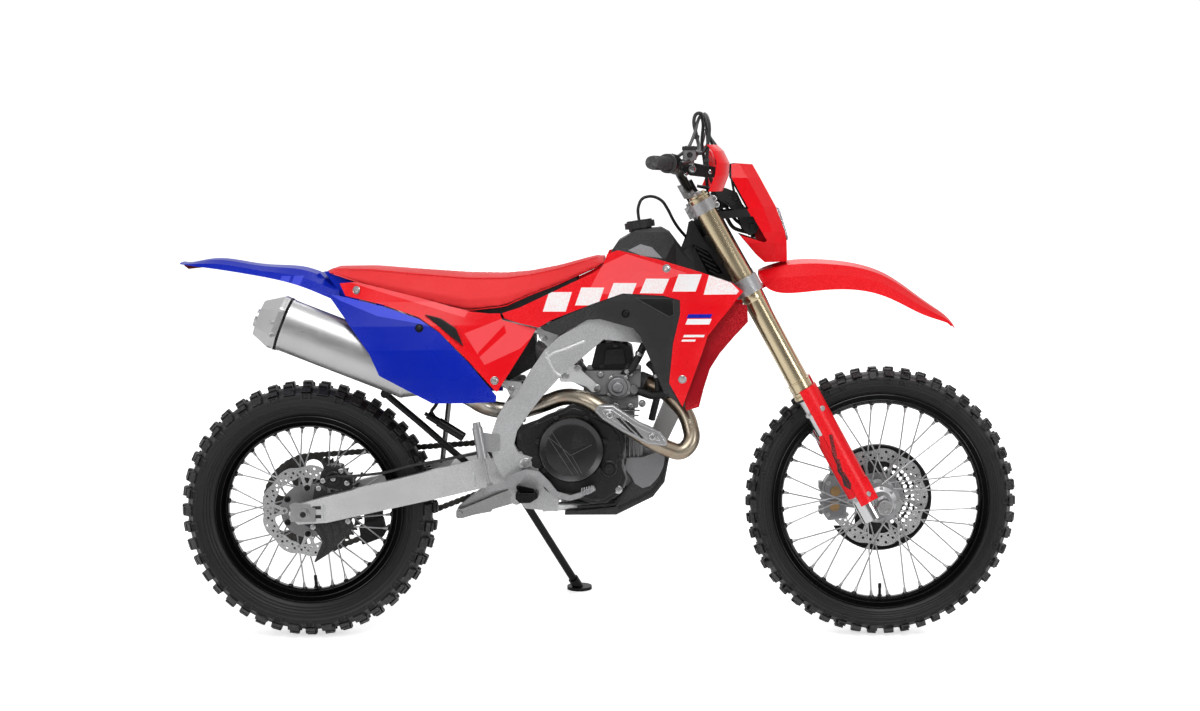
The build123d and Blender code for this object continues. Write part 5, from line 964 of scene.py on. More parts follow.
@base
class MOTORCYCLE_OT_wheels(Operator):
    """Rim edges with valves, spoke nipples, and the parts of both brakes"""

    bl_idname = "motorcycle.wheels"
    bl_label = "Wheels and brakes"

    def execute(self, context):
        for wheel in WHEELS:
            self.rim(*wheel)
        self.front_brake()
        self.rear_brake()
        return {"FINISHED"}

    def rim(self, name, body, middle, well, flange, half, hub, hub_half, lean, valve):
        place, rim_r = Matrix.Translation(middle), well - 0.3
        edges, nipples = Draft(place), Draft(place)
        for side in (-1, 1):
            for along, radius, thick in (
                (half - 0.2, flange - 2.6, 1.5), (half - 1.6, flange - 16, 1.1), (half * 0.62, well + 4.5, 1.5)
            ):
                turns = [2 * pi * k / 120 for k in range(120)]
                circle = [(radius * cos(t), side * along, radius * sin(t)) for t in turns]
                edges.sweep(circle, thick, 8, 0, closed=True)
        for i in range(SPOKES):
            side, sense = (1 if i % 2 else -1), (1 if (i // 2) % 2 == 0 else -1)
            turn = (i + 0.5) * 360 / SPOKES
            start_a = radians(turn + sense * lean)
            y = side * (hub_half + (6.2 if sense > 0 else -6.6))
            start = Vector((hub * cos(start_a), y, hub * sin(start_a)))
            end = Vector((rim_r * cos(radians(turn)), side * 3, rim_r * sin(radians(turn))))
            out = (start - end).normalized()
            edges.lathe([(-3, 8.4), (0.5, 7.6), (3.4, 5.2), (3.4, 3)], end, out, 16)
            nipples.lathe([(2.5, 4.1), (9, 3.9), (10, 3.4), (15, 3.2), (16.5, 2.2)], end, out, 10)
        turn = radians(valve)
        out = Vector((cos(turn), 0, sin(turn)))
        edges.lathe([
            (well - 1, 6.2), (well - 5, 6), (well - 6, 4), (well - 22, 3.6), (well - 23, 4.6), (well - 34, 4.4),
            (well - 35, 3)
        ], (0, 0, 0), out, 18)
        edges.finish(name + "_rim_edges", body, "rim edge", "black_rim")
        nipples.finish(name + "_nipples", body, "spoke steel", "spoke_steel")

    def front_brake(self):
        d = Draft()
        cheek = [(1342, 384), (1356, 400), (1392, 400), (1395, 350), (1391, 306), (1356, 298), (1342, 318)]
        d.prism(cheek, 34.5, 40)
        d.prism(cheek, 80, 84)
        d.prism([(1328, 372), (1338, 376), (1338, 392), (1328, 392)], 44, 76)
        d.prism([(1328, 308), (1338, 304), (1338, 326), (1328, 326)], 44, 76)
        for z in (332, 350, 368):
            d.prism([(1331, z), (1337, z), (1337, z + 6), (1331, z + 6)], 42, 78)
        d.lathe([(0, 8), (10, 8), (12, 6), (26, 6), (26, 4)], (1366, 62, 404), (-0.2, 0, 1), 24)
        d.finish("front_caliper_castings", "steering", "cast alloy", "cast_alloy", bevel=1.4)
        d = Draft()
        for y, way in ((34.5, -1), (84, 1)):
            for x, z in ((1370, 368), (1368, 329)):
                d.lathe(
                    [(-1, 13.5), (2, 13.5), (2.8, 12.6), (2.8, 9), (1.6, 8.6), (1.6, 0.01)],
                    (x, y, z), (0, way, 0), 36
                )
        d.finish("front_caliper_caps", "steering", "bronze", "gold_alloy")
        d = Draft()
        for y, way in ((34.5, -1), (84, 1)):
            places = [(1352, 389), (1352, 307), (1386, 392), (1386, 311), (1389, 349)]
            for x, z in places[:2] if way < 0 else places:  # the spokes pass close to the inner face
                d.bolt((x, y, z), (0, way, 0), 4, 3, 5.5, True)
        d.bolt((1361, 62, 428), (-0.2, 0, 1), 6, 5, 9)
        for x, z in ((1476, 266), (1402, 302)):
            d.bolt((x, 65, z), (0, 1, 0), 4, 3.5, 6)
        axle = struck("front_axle", FRONT_AXLE[0] + 10, FRONT_AXLE[2])[0].y
        d.lathe(
            [(-6, 19), (1, 19), (2.5, 17.5), (2.5, 11), (-1, 10)],
            (FRONT_AXLE[0], axle, FRONT_AXLE[2]), RIGHT, 40
        )
        d.finish("front_brake_bolts", "steering", "plated steel", "steel")

    def rear_brake(self):
        d = Draft()
        body = [
            (36, 410), (40, 438), (56, 454), (92, 450), (106, 434), (121, 424), (123, 410), (112, 396),
            (88, 394), (62, 397)
        ]
        d.prism(body, -80, -57)
        d.prism([(44, 412), (50, 444), (90, 444), (104, 414), (96, 404), (60, 404)], -47, -40)
        d.prism(
            [(54, 456), (92, 452), (110, 431), (122, 424), (122, 410), (108, 413), (92, 437), (60, 450)],
            -79, -41
        )
        d.prism([
            (-14, 318), (14, 318), (32, 352), (70, 370), (108, 384), (126, 404), (114, 414), (94, 392),
            (60, 386), (36, 404), (25, 402), (18, 368), (-14, 352)
        ], -85, -80.5)
        d.lathe([(-2, 21), (7, 20.5), (9, 18), (9, 13), (6, 12), (6, 0.01)], (72, -80, 423), RIGHT, 40)
        d.lathe([(-3, 8), (11, 7.5), (12, 6)], (108, -79, 412), RIGHT, 24)
        d.lathe([(-3, 7), (9, 6.5), (10, 5)], (46, -79, 418), RIGHT, 24)
        d.lathe([(0, 5), (8, 5), (8, 3), (17, 3), (17, 4), (20, 4)], (52, -70, 452), (-0.5, 0, 1), 16)
        for i in range(4):
            d.prism(
                [(62 + 8 * i, 451), (65 + 8 * i, 451), (65 + 8 * i, 458 - i), (62 + 8 * i, 458 - i)], -76, -44
            )
        piece = d.finish("rear_brake_caliper", "root", "engine black", "black_steel", bevel=1.3)
        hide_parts("rear_caliper")
        d = Draft()
        for x, z, y in ((72, 423, -86), (108, 412, -90), (46, 418, -88), (92, 442, -80), (34, 398, -85)):
            d.bolt((x, y, z), RIGHT, 4.5, 4, 6.5)
        d.lathe([(0, 7), (8, 7), (8, 5), (12, 5)], (88, -68, 450), (0.25, 0, 1), 6)
        d.prism([(54, 409), (96, 409), (96, 413), (54, 413)], -57.5, -55.8)
        d.bolts([(20, 300), (110, 314)], "swingarm_guards", 4.5, 3.5, 7)
        d.finish("rear_brake_bolts", "root", "plated steel", "steel")
        d = Draft()
        for route in (
            [(38, 303), (46, 286), (54, 262), (50, 240), (36, 222)], [(62, 308), (70, 290), (72, 262)],
            [(84, 312), (90, 296), (90, 276)], [(104, 316), (108, 304), (107, 290)],
        ):
            line_on(d, "swingarm_guards", route, 2.0, -1, 8, 0.2, 5)
        d.finish("disc_guard_ribs", "root", "black plastic", "black_plastic")


# ---------------------------------------------------------------- fork
CLAMP_OFFSET, LEG_SPACING = 22, 107  # of each leg, ahead of the steering axis and from the centre plane


@base
class MOTORCYCLE_OT_fork(Operator):
    """Wipers and rings of the fork legs, clamp bolts and guard bolts"""

    bl_idname = "motorcycle.fork"
    bl_label = "Fork"

    def execute(self, context):
        d, dark, bolts = Draft(FORK), Draft(FORK), Draft(FORK)
        for side in (-1, 1):
            foot = (CLAMP_OFFSET, side * LEG_SPACING, 0)
            d.lathe([
                (343, 29.2), (343, 31), (350, 31), (351.5, 29.8), (354, 29.8), (355, 31), (360, 31), (361.5, 28)
            ], foot, UP, 56)
            d.lathe([(384, 27.3), (385, 28.6), (388, 28.6), (389, 27.3)], foot, UP, 56)
            d.lathe([(620, 27.2), (622, 28.4), (636, 28.4), (637, 27.2)], foot, UP, 56)
            dark.lathe([(337, 25), (337, 29), (343.5, 29.5)], foot, UP, 48)
            dark.lathe([(916, 24.5), (919, 24.5), (921, 22), (921, 14)], foot, UP, 48)
            bolts.lathe([(920, 11), (931, 10.5), (932.5, 8), (932.5, 3), (930, 2.5)], foot, UP, 24)
            for z in (884, 898, 651, 674):
                bolts.lathe([(0, 6.2), (1, 6.2)], (-14, side * LEG_SPACING - 14, z), RIGHT, 20)
            for z in (52, 300):
                for reach in (-20, 20):
                    place = (CLAMP_OFFSET + reach, side * (LEG_SPACING + 29.5), z)
                    bolts.bolt(place, (reach / 30, side, 0), 4.5, 3.5, 7)
        d.finish("fork_rings", "steering", "gold alloy", "gold_alloy")
        dark.finish("fork_wipers", "steering", "hose rubber", "hose_rubber")
        bolts.finish("fork_bolts", "steering", "plated steel", "steel")
        d = Draft(FORK)
        for side in (-1, 1):
            rings = []
            for z, last in ((60, 148), (110, 156), (170, 160), (214, 150), (240, 128)):
                turns = [radians(112 + (last - 112) * k / 10) for k in range(11)]
                way = [(t, 36) for t in turns] + [(t, 33.6) for t in reversed(turns)]
                rings.append(
                    [(CLAMP_OFFSET + r * cos(t), side * (LEG_SPACING + r * sin(t)), z) for t, r in way]
                )
            d.loft(rings)
        d.finish("fork_guard_wings", "steering", "fork guard red", "red_plastic")
        d = Draft()
        d.bolts([(1052, 1136), (1059, 1121)], "triple_clamps", 5, 5, 7.5, True)
        d.mirrored()
        d.finish("clamp_bolts", "steering", "plated steel", "steel")
        return {"FINISHED"}


# ---------------------------------------------------------------- seat
# x, top, bottom, half width at the bottom, half width at the top
SEAT = [
    (57, 962, 956, 86, 72), (72, 965, 950, 90, 76), (115, 966, 936, 97, 80), (180, 967, 914, 103, 84),
    (298, 958, 881, 107, 82), (425, 949, 852, 109, 80), (520, 947, 862, 105, 76), (584, 952, 890, 99, 72),
    (659, 966, 918, 93, 66), (724, 983, 948, 91, 60), (779, 997, 972, 91, 56)
]
FOAM_GAP = 3.0  # the foam starts this much inside its room, and the stuffing swells it
CLOTH_FRAMES = 20


def seat_section(x, shrink, round_end=1.0):
    """Half section of the seat at x: (half width, z) from the hem up to the middle of the top."""
    i = max(k for k in range(len(SEAT) - 1) if SEAT[k][0] <= x or k == 0)
    a, b = SEAT[i], SEAT[i + 1]
    t = min(max((x - a[0]) / (b[0] - a[0]), 0), 1)
    top, bottom, wide, narrow = (p + (q - p) * t for p, q in zip(a[1:], b[1:]))
    top, bottom = top - shrink, bottom + shrink
    wide, narrow = (wide - shrink) * round_end, (narrow - shrink) * round_end
    tall = top - bottom
    return [
        (wide, bottom), (wide, bottom + 0.3 * tall), (narrow + 0.3 * (wide - narrow), top - 0.33 * tall),
        (narrow, top - 0.12 * tall), (narrow * 0.55, top - 0.03 * tall), (0, top),
    ]


def applied(piece):
    """Bakes a piece's modifiers into its mesh."""
    graph = bpy.context.evaluated_depsgraph_get()
    mesh = bpy.data.meshes.new_from_object(piece.evaluated_get(graph))
    piece.modifiers.clear()
    piece.data = mesh
    return mesh


def stuffed(piece, voxel, pressure, limit):
    """Swells a closed cover like foam under vinyl: cloth under pressure, up to a limit in millimetres."""
    even = piece.modifiers.new("even quads", "REMESH")
    even.mode, even.voxel_size = "VOXEL", voxel * MM
    mesh = applied(piece)
    rest = [v.co.copy() for v in mesh.vertices]
    cloth = piece.modifiers.new("stuffing", "CLOTH")
    cloth.settings.use_pressure, cloth.settings.uniform_pressure_force = True, pressure
    cloth.settings.effector_weights.gravity = 0
    scene = bpy.context.scene
    for frame in range(1, CLOTH_FRAMES + 1):
        scene.frame_set(frame)
    mesh = applied(piece)
    scene.frame_set(1)
    for vertex, start in zip(mesh.vertices, rest):
        move = vertex.co - start
        if move.length > limit * MM:
            vertex.co = start + move.normalized() * limit * MM
    smoother = piece.modifiers.new("fine surface", "SUBSURF")
    smoother.levels = smoother.render_levels = 1
    mesh = applied(piece)
    shade(mesh, 60)
    return mesh


@base
class MOTORCYCLE_OT_seat(Operator):
    """Long padded seat with a gripping cover, and its piping"""

    bl_idname = "motorcycle.seat"
    bl_label = "Seat"

    def execute(self, context):
        d = Draft()
        stations = [60, 66] + [72 + 14.2 * i for i in range(50)] + [776]
        rings = []
        for x in stations:
            ends = min(1.0, 0.9 + (x - 60) / 120, 0.93 + (776 - x) / 120)
            half = seat_section(x, FOAM_GAP, ends)
            if half[-1][1] - half[0][1] < 3:
                half = [(y, z + 3 * k / 5) for k, (y, z) in enumerate(half)]
            rings.append([(x, y, z) for y, z in half] + [(x, -y, z) for y, z in half[-2::-1]])
        d.loft(rings)
        piece = d.finish("padded_seat", "root", "seat cover", "seat_cover", weld=True)
        mesh = stuffed(piece, 5.0, 4.0, 3.2)
        self.folds(mesh)
        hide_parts("seat")
        piping = Draft()
        for corner, lift, radius in ((0, 2.5, 1.5), (3, 0.2, 1.0)):
            line = []
            for i in range(36):
                x = 84 + 672 * i / 35
                y, z = seat_section(x, FOAM_GAP - 2.0)[corner]
                line.append((x, y - 0.6, z + lift))
            piping.sweep(line, radius, 6, 2)
        piping.mirrored()
        piping.finish("seat_piping", "root", "panel red", "seat_cover")
        return {"FINISHED"}

    def folds(self, mesh):
        """Presses a shallow gripping rib pattern into the top of the seat."""
        back = PARKED.inverted()
        for vertex in mesh.vertices:
            at = back @ vertex.co
            if 250 < at.x < 690 and vertex.normal.z > 0.8 and abs(at.y) < 62:
                ease = min(1, (at.x - 250) / 30, (690 - at.x) / 30, (62 - abs(at.y)) / 8)
                vertex.co.z -= 0.0009 * ease * max(0, cos(2 * pi * at.x / 18)) ** 3


# ---------------------------------------------------------------- engine
CASE_COVER = [
    (549, 545), (560, 562), (602, 577), (627, 590), (669, 605), (690, 618), (725, 610), (753, 588), (796, 567),
    (818, 539), (824, 507), (812, 465), (826, 425), (810, 385), (774, 362), (739, 362), (690, 378), (634, 384),
    (599, 421), (578, 470), (548, 513)
]
CLUTCH = (688, 503)


@base
class MOTORCYCLE_OT_engine(Operator):
    """Right side cover, clutch cover trim, head castings, ribs, coolant hoses and the engine's bolts"""

    bl_idname = "motorcycle.engine"
    bl_label = "Engine"

    def execute(self, context):
        self.covers()
        self.head()
        self.hoses()
        return {"FINISHED"}

    def covers(self):
        side = struck("crankcase", 690, 398)[0].y
        d = Draft()
        d.prism(CASE_COVER, side - 9, side + 4)
        inner = [(688 + (x - 688) * 0.93, 480 + (z - 480) * 0.93) for x, z in CASE_COVER]
        d.prism(inner, side - 12, side - 8)
        d.finish("right_case_cover", "root", "engine black", "engine_black", bevel=2.2)
        face = struck("engine_covers", *CLUTCH)[0].y
        ring = Draft()
        ring.lathe(
            [(-14.0, 83.5), (-2.5, 84), (3.6, 80.6), (4.0, 79.2), (3.4, 77.8), (-0.6, 66), (-3.0, 65.5)],
            (CLUTCH[0], face, CLUTCH[1]), RIGHT, 96
        )
        ring.finish("clutch_cover_ring", "root", "cover rim", "engine_black", weld=True)
        d = Draft()
        d.lathe(
            [(-3, 66.2), (0.2, 66.2), (1.2, 63.4), (1.9, 30), (1.9, 0.01)],
            (CLUTCH[0], face, CLUTCH[1]), RIGHT, 96
        )
        lines = Draft()
        for start, end in (
            ((628, 538), (691, 440)), ((641, 546), (708, 438)), ((628, 538), (687, 489)),
            ((687, 489), (740, 516)), ((690, 487), (716, 440))
        ):
            self.strip(lines, start, end, face - 1.9, 0.7, 0.4)
        lines.finish("clutch_cover_lines", "root", "cover line", "engine_black")
        d.bolts([
            (561, 534), (571, 464), (583, 523), (743, 588), (806, 521), (806, 399), (752, 374), (650, 385),
            (600, 562), (812, 480)
        ], side - 8.5, 5, 6, 8)
        d.lathe(
            [(0, 21), (5, 20.5), (6, 18), (3, 17), (3, 13), (8, 12.5), (9, 11.5), (9, 0.01)],
            (783, side - 11, 452), RIGHT, 40
        )
        self.strip(d, (772, 452), (794, 452), side - 19.5, 3.0, 3.0)
        d.lathe([(0, 17), (6, 16.5), (7.5, 15), (7.5, 0.01)], (600, side - 10, 470), RIGHT, 32)
        d.finish("clutch_cover_trim", "root", "engine black", "engine_black")
        d = Draft()
        for x, z, size in ((571, 465, 8), (806, 397, 5.5)):
            d.bolt((x, side - 10, z), RIGHT, size, 6, size * 1.9)
        d.finish("case_bolts", "root", "plated steel", "steel")

    def strip(self, d, start, end, y, width, height):
        """A low raised line on a flat cover."""
        a, b = Vector(start), Vector(end)
        out = Vector((-(b - a).y, (b - a).x)).normalized() * width
        d.prism([a - out, a + out, b + out, b - out], y - height, y + 1)

    def head(self):
        d = Draft()
        side = struck("cylinder", 770, 650)[0].y
        for x, z in ((762, 688), (838, 690), (762, 612), (868, 612), (800, 608), (838, 606)):
            d.lathe([(-8, 9), (6, 9), (8, 7)], (x, side + 2, z), RIGHT, 20)
        d.prism(
            [(784, 630), (776, 668), (792, 688), (823, 688), (840, 664), (834, 636), (808, 624)],
            side - 16, side + 6
        )
        pump = struck("cylinder", 806, 657)[0].y
        d.lathe(
            [(-6, 26), (1, 26), (4, 23), (4, 15), (8, 14), (10, 11), (10, 0.01)], (806, pump, 657), RIGHT, 40
        )
        d.lathe([(0, 13), (16, 12.5), (18, 10.5), (18, 0.01)], (842, side + 4, 648), (0.35, -1, 0.1), 28)
        for i in range(5):
            z = 592 - 13 * i
            d.prism([(752, z), (752, z + 3.2), (862 - 3 * i, z + 3.2), (862 - 3 * i, z)], side - 2, side + 12)
        for i in range(4):
            d.prism([
                (822 + 11 * i, 470), (826 + 11 * i, 470), (826 + 11 * i, 535 - 6 * i),
                (822 + 11 * i, 535 - 6 * i)
            ], -92, -60)
        d.prism([(815, 462), (868, 466), (872, 530), (850, 545), (815, 540)], -84, -50)
        d.finish("head_castings", "root", "cast alloy", "cast_alloy", bevel=1.2)
        d = Draft()
        d.bolts([(784, 637), (789, 680), (827, 681), (832, 642)], side - 16, 3.6, 4.5, 5)
        d.bolts([(762, 688), (838, 690), (762, 612), (868, 612), (800, 608), (838, 606)], side - 6, 4.5, 5)
        d.finish("head_bolts", "root", "plated steel", "steel")
        d = Draft()
        top = struck("cylinder", 795, 730)[0].y
        d.bolts([(765, 705), (832, 706), (800, 764)], top, 5, 7, 8)
        d.prism([(770, 712), (826, 714), (820, 754), (776, 750)], top - 3, top + 2)
        d.mirrored()
        d.finish("cam_cover_trim", "root", "engine black", "engine_black", bevel=1.0)

    def hoses(self):
        d = Draft()
        routes = [
            [
                (880, -84, 778), (868, -86, 752), (855, -88, 726), (841, -86, 704), (828, -76, 692),
                (818, -62, 684)
            ],
            [
                (884, -60, 716), (902, -70, 696), (909, -76, 662), (906, -74, 630), (898, -66, 596),
                (892, -58, 570)
            ],
            [(846, -62, 648), (872, -70, 640), (896, -78, 634), (930, -86, 640), (962, -96, 656)],
        ]
        for route, r in zip(routes, (10, 9, 11)):
            d.sweep(route, r, 14, 8)
        d.finish("coolant_hoses", "root", "hose rubber", "hose_rubber")
        d = Draft()
        for at, axis, r in (
            ((862, -87, 741), (0.42, 0, 0.9), 11.2), ((832, -80, 697), (0.7, -0.4, 0.6), 11.2),
            ((907, -75, 634), (0.1, 0, 1), 10.2), ((905, -73, 684), (-0.3, 0, 1), 10.2),
        ):
            d.lathe([(-4, r - 0.8), (-4, r), (4, r), (4, r - 0.8)], at, axis, 28)
            d.bolt(Vector(at) + Vector((0, -r, 0)), RIGHT, 3.4, 4)
        d.finish("hose_clamps", "root", "plated steel", "steel")


# ---------------------------------------------------------------- frame and exhaust
SILENCER_END = Vector((-43.5, -118, 825.5))
SILENCER_AXIS = Vector((cos(radians(21.5)), 0, -sin(radians(21.5))))


@base
class MOTORCYCLE_OT_chassis(Operator):
    """Hangers, castings, pedal teeth, weld beads, chain adjusters, brake hose, shield and silencer trim"""

    bl_idname = "motorcycle.chassis"
    bl_label = "Frame, swingarm and exhaust"

    def execute(self, context):
        self.hangers()
        self.welds()
        self.arm()
        self.exhaust()
        return {"FINISHED"}

    def hangers(self):
        spar, head = -114, -79
        outline = [
            (657, 691), (678, 717), (703, 714), (724, 690), (752, 664), (762, 654), (758, 644), (740, 642),
            (724, 658), (688, 673), (661, 673)
        ]
        d = Draft()
        plate(d, outline, 6, lambda x, z: spar + (head - spar) * min(1, max(0, (x - 690) / 50)))
        d.mirrored()
        d.finish("engine_hangers", "root", "frame alloy", "frame_alloy", bevel=1.0)
        d = Draft()
        # The first plate is partly the cradle casting and partly a painted highlight on the skid plate's upper
        # facet.
        d.prism([
            (820, 446), (826, 476), (868, 478), (905, 492), (926, 478), (922, 452), (908, 424), (888, 402),
            (868, 396), (848, 408), (838, 426)
        ], -95.5, -84)
        d.prism([(862, 470), (868, 528), (886, 532), (928, 500), (932, 480), (905, 478)], -68, -58)
        d.mirrored()
        d.finish("cradle_castings_and_skid_highlight", "root", "cast alloy", "cast_alloy", bevel=2.4)
        d = Draft()
        d.prism([(700, 345), (798, 353), (842, 408), (838, 414), (794, 360), (700, 352)], -96, -88)
        d.prism(
            [(806, 340), (896, 384), (922, 418), (933, 470), (925, 470), (914, 422), (890, 391), (804, 347)],
            -95, -88
        )
        d.mirrored()
        d.finish("skid_plate_ribs", "root", "engine black", "black_plastic", bevel=1.6)
        d = Draft()
        for i in range(5):
            x, z = 712 + 6 * i, 389 + 1.5 * i
            d.prism([(x, z), (x + 1.5, z + 19), (x + 4.5, z + 19.5), (x + 3, z)], -170, -160)
        d.finish("pedal_teeth", "root", "clamp alloy", "steel", bevel=0.4)
        d = Draft()
        for x, z, y in ((704, 706, -104), (676, 687, spar), (752, 654, head)):
            d.bolt((x, y, z), RIGHT, 6, 5, 9.5)
        d.bolts([(620, 781), (536, 653)], "subframe", 6, 5, 9)
        pivot = struck("swingarm_pivot", 586, 465)[0].y
        d.lathe([(-1, 16), (2, 16), (2.6, 15), (2.6, 0.01)], (571, pivot, 465), RIGHT, 32)
        d.lathe([(2, 11), (9, 11), (10, 10), (10, 6), (4, 6)], (571, pivot, 465), RIGHT, 6)
        d.mirrored()
        d.finish("frame_bolts", "root", "plated steel", "steel")

    def welds(self):
        d = Draft()
        bead = lambda t: 4.6 + 0.6 * abs(sin(t * 45))
        for side in (-1, 1):
            for route in (
                [(624, 735), (645, 748), (669, 756), (700, 768), (724, 778)],
                [(627, 754), (628, 738), (645, 703), (660, 690)],
            ):
                line_on(d, "main_frame", route, bead, side, 8, -3.0, 12)
            for route in (
                [(52, 318), (52, 330), (52, 345), (52, 360)], [(438, 402), (437, 415), (436, 430), (434, 440)]
            ):
                line_on(d, "swingarm", route, bead, side, 8, -3.0, 12)
        d.finish("weld_beads", "root", "frame alloy", "frame_alloy")

    def arm(self):
        d = Draft()
        for side in (-1, 1):
            y = struck("swingarm", 4, 322, side)[0].y
            d.prism([(-34, 316), (-34, 362), (-22, 366), (16, 362), (20, 340), (16, 318)], y, y + side * 3.5)
            for z in (324, 356):
                d.bolt((-30, y - side * 6, z), (-1, 0, 0), 5, 6, 7)
            d.lathe([(0, 15), (9, 15), (10, 14)], (0, y + side * 3.4, 337), (0, side, 0), 6)
            d.lathe([(0, 19), (2, 19)], (0, y + side * 3, 337), (0, side, 0), 32)
            d.lathe([(9, 10.5), (14, 10.5), (14, 7.5), (6, 7)], (0, y + side * 3.4, 337), (0, side, 0), 28)
        d.finish("chain_adjusters", "root", "plated steel", "steel", bevel=0.5)
        d = Draft()
        for side in (-1, 1):
            y = struck("swingarm", 4, 322, side)[0].y
            for z in (325, 348):
                d.prism([(22, z), (22, z + 8), (44, z + 9), (44, z)], y - side * 2, y + side * 0.6)
            d.lathe([(14.2, 7.6), (14.4, 0.01)], (0, y + side * 3.4, 337), (0, side, 0), 24)
        d.finish("adjuster_recesses", "root", "engine black", "engine_black")
        d = Draft()
        d.sweep([
            (46, -84, 420), (78, -96, 431), (120, -104, 432), (205, -106, 441), (272, -106, 458),
            (339, -108, 470), (390, -108, 480), (440, -112, 490), (470, -120, 500), (486, -124, 480)
        ], 3.6, 8, 6)
        for x, z in ((150, 436), (300, 464), (400, 482)):
            d.lathe([(-3, 5.4), (-3, 6), (3, 6), (3, 5.4)], (x, -105.5, z + 0.5), (1, 0, 0.25), 16)
        d.finish("rear_brake_hose", "root", "hose rubber", "hose_rubber")

    def exhaust(self):
        d = Draft()
        rim = [
            (752, 603), (760, 617), (795, 617), (858, 574), (912, 549), (929, 521), (925, 517), (884, 522),
            (822, 553), (770, 586)
        ]
        crest = [
            (768, 601), (772, 608), (793, 608), (850, 567), (905, 541), (914, 527), (886, 531), (828, 559),
            (778, 591)
        ]
        d.prism(rim, -170.6, -166)
        d.prism(crest, -173.0, -170)
        d.finish("shield_face", "root", "bright alloy", "silencer_alloy", bevel=1.4)
        # painted shade: dark strips laid on the shield face where its recessed slits lie in shade
        d = Draft()
        for slit in (
            [(801, 588), (812, 586), (850, 545), (838, 551)],
            [(820, 581), (866, 535), (872, 534), (850, 562), (833, 577)]
        ):
            d.prism(slit, -173.5, -171)
        d.finish("shield_slit_shade", "root", "engine black", "engine_black")
        d = Draft()
        girdle(d, "silencer", SILENCER_END, SILENCER_AXIS, [(-1, 0), (-0.6, 1), (5.4, 1), (6, 0)], 1.6)
        d.finish("silencer_band", "root", "black steel", "black_steel")
        d = Draft()
        for along in (-11, 330):
            girdle(
                d, "silencer", SILENCER_END, SILENCER_AXIS,
                [(along - 5, 0), (along - 4.4, 1), (along + 4.4, 1), (along + 5, 0)], 0.9
            )
        d.finish("silencer_straps", "root", "silencer alloy", "silencer_alloy")
        d = Draft()
        for x, z in ((-66, 832), (-66, 800), (300, 700)):
            hit, out = struck("silencer", x, z)
            d.bolt(hit, out, 5, 4, 7)
        for x, z in ((787, 594), (894, 538)):
            hit, out = Vector((x, -172.6, z)), Vector(RIGHT)
            d.lathe([(-1, 12.5), (1.4, 12.5), (2.2, 11.6), (2.2, 7)], hit, out, 32)
            d.bolt(hit + out, out, 6, 4.5, 9, True)
        d.finish("exhaust_bolts", "root", "plated steel", "steel")


# ---------------------------------------------------------------- fasteners of the panels
@base
class MOTORCYCLE_OT_fasteners(Operator):
    """Bolts of the shrouds, side panels, plates and covers"""

    bl_idname = "motorcycle.fasteners"
    bl_label = "Panel bolts"

    def execute(self, context):
        for name, finish, slot, places in (
            ("panel_bolts", "plated steel", "steel", [
                ("side_panels", 145, 910), ("side_panels", 495, 680), ("radiator_shrouds", 932, 962),
                ("radiator_shrouds", 970, 683)
            ]),
            (
                "dark_panel_bolts", "black steel", "black_steel",
                [("number_plates side_panels", 307, 815), ("shroud_covers radiator_shrouds", 828, 848)]
            ),
        ):
            d = Draft()
            for side in (-1, 1):
                for names, x, z in places:
                    hit, out = struck(names, x, z, side)
                    d.lathe(
                        [(0, 10.5), (1.6, 10.5), (2.2, 9.6), (1.2, 8.4), (0.6, 8)], hit - out * 0.5, out, 28
                    )
                    d.bolt(hit, out, 5, 3.5, 7.6)
            d.finish(name, "root", finish, slot)
        return {"FINISHED"}


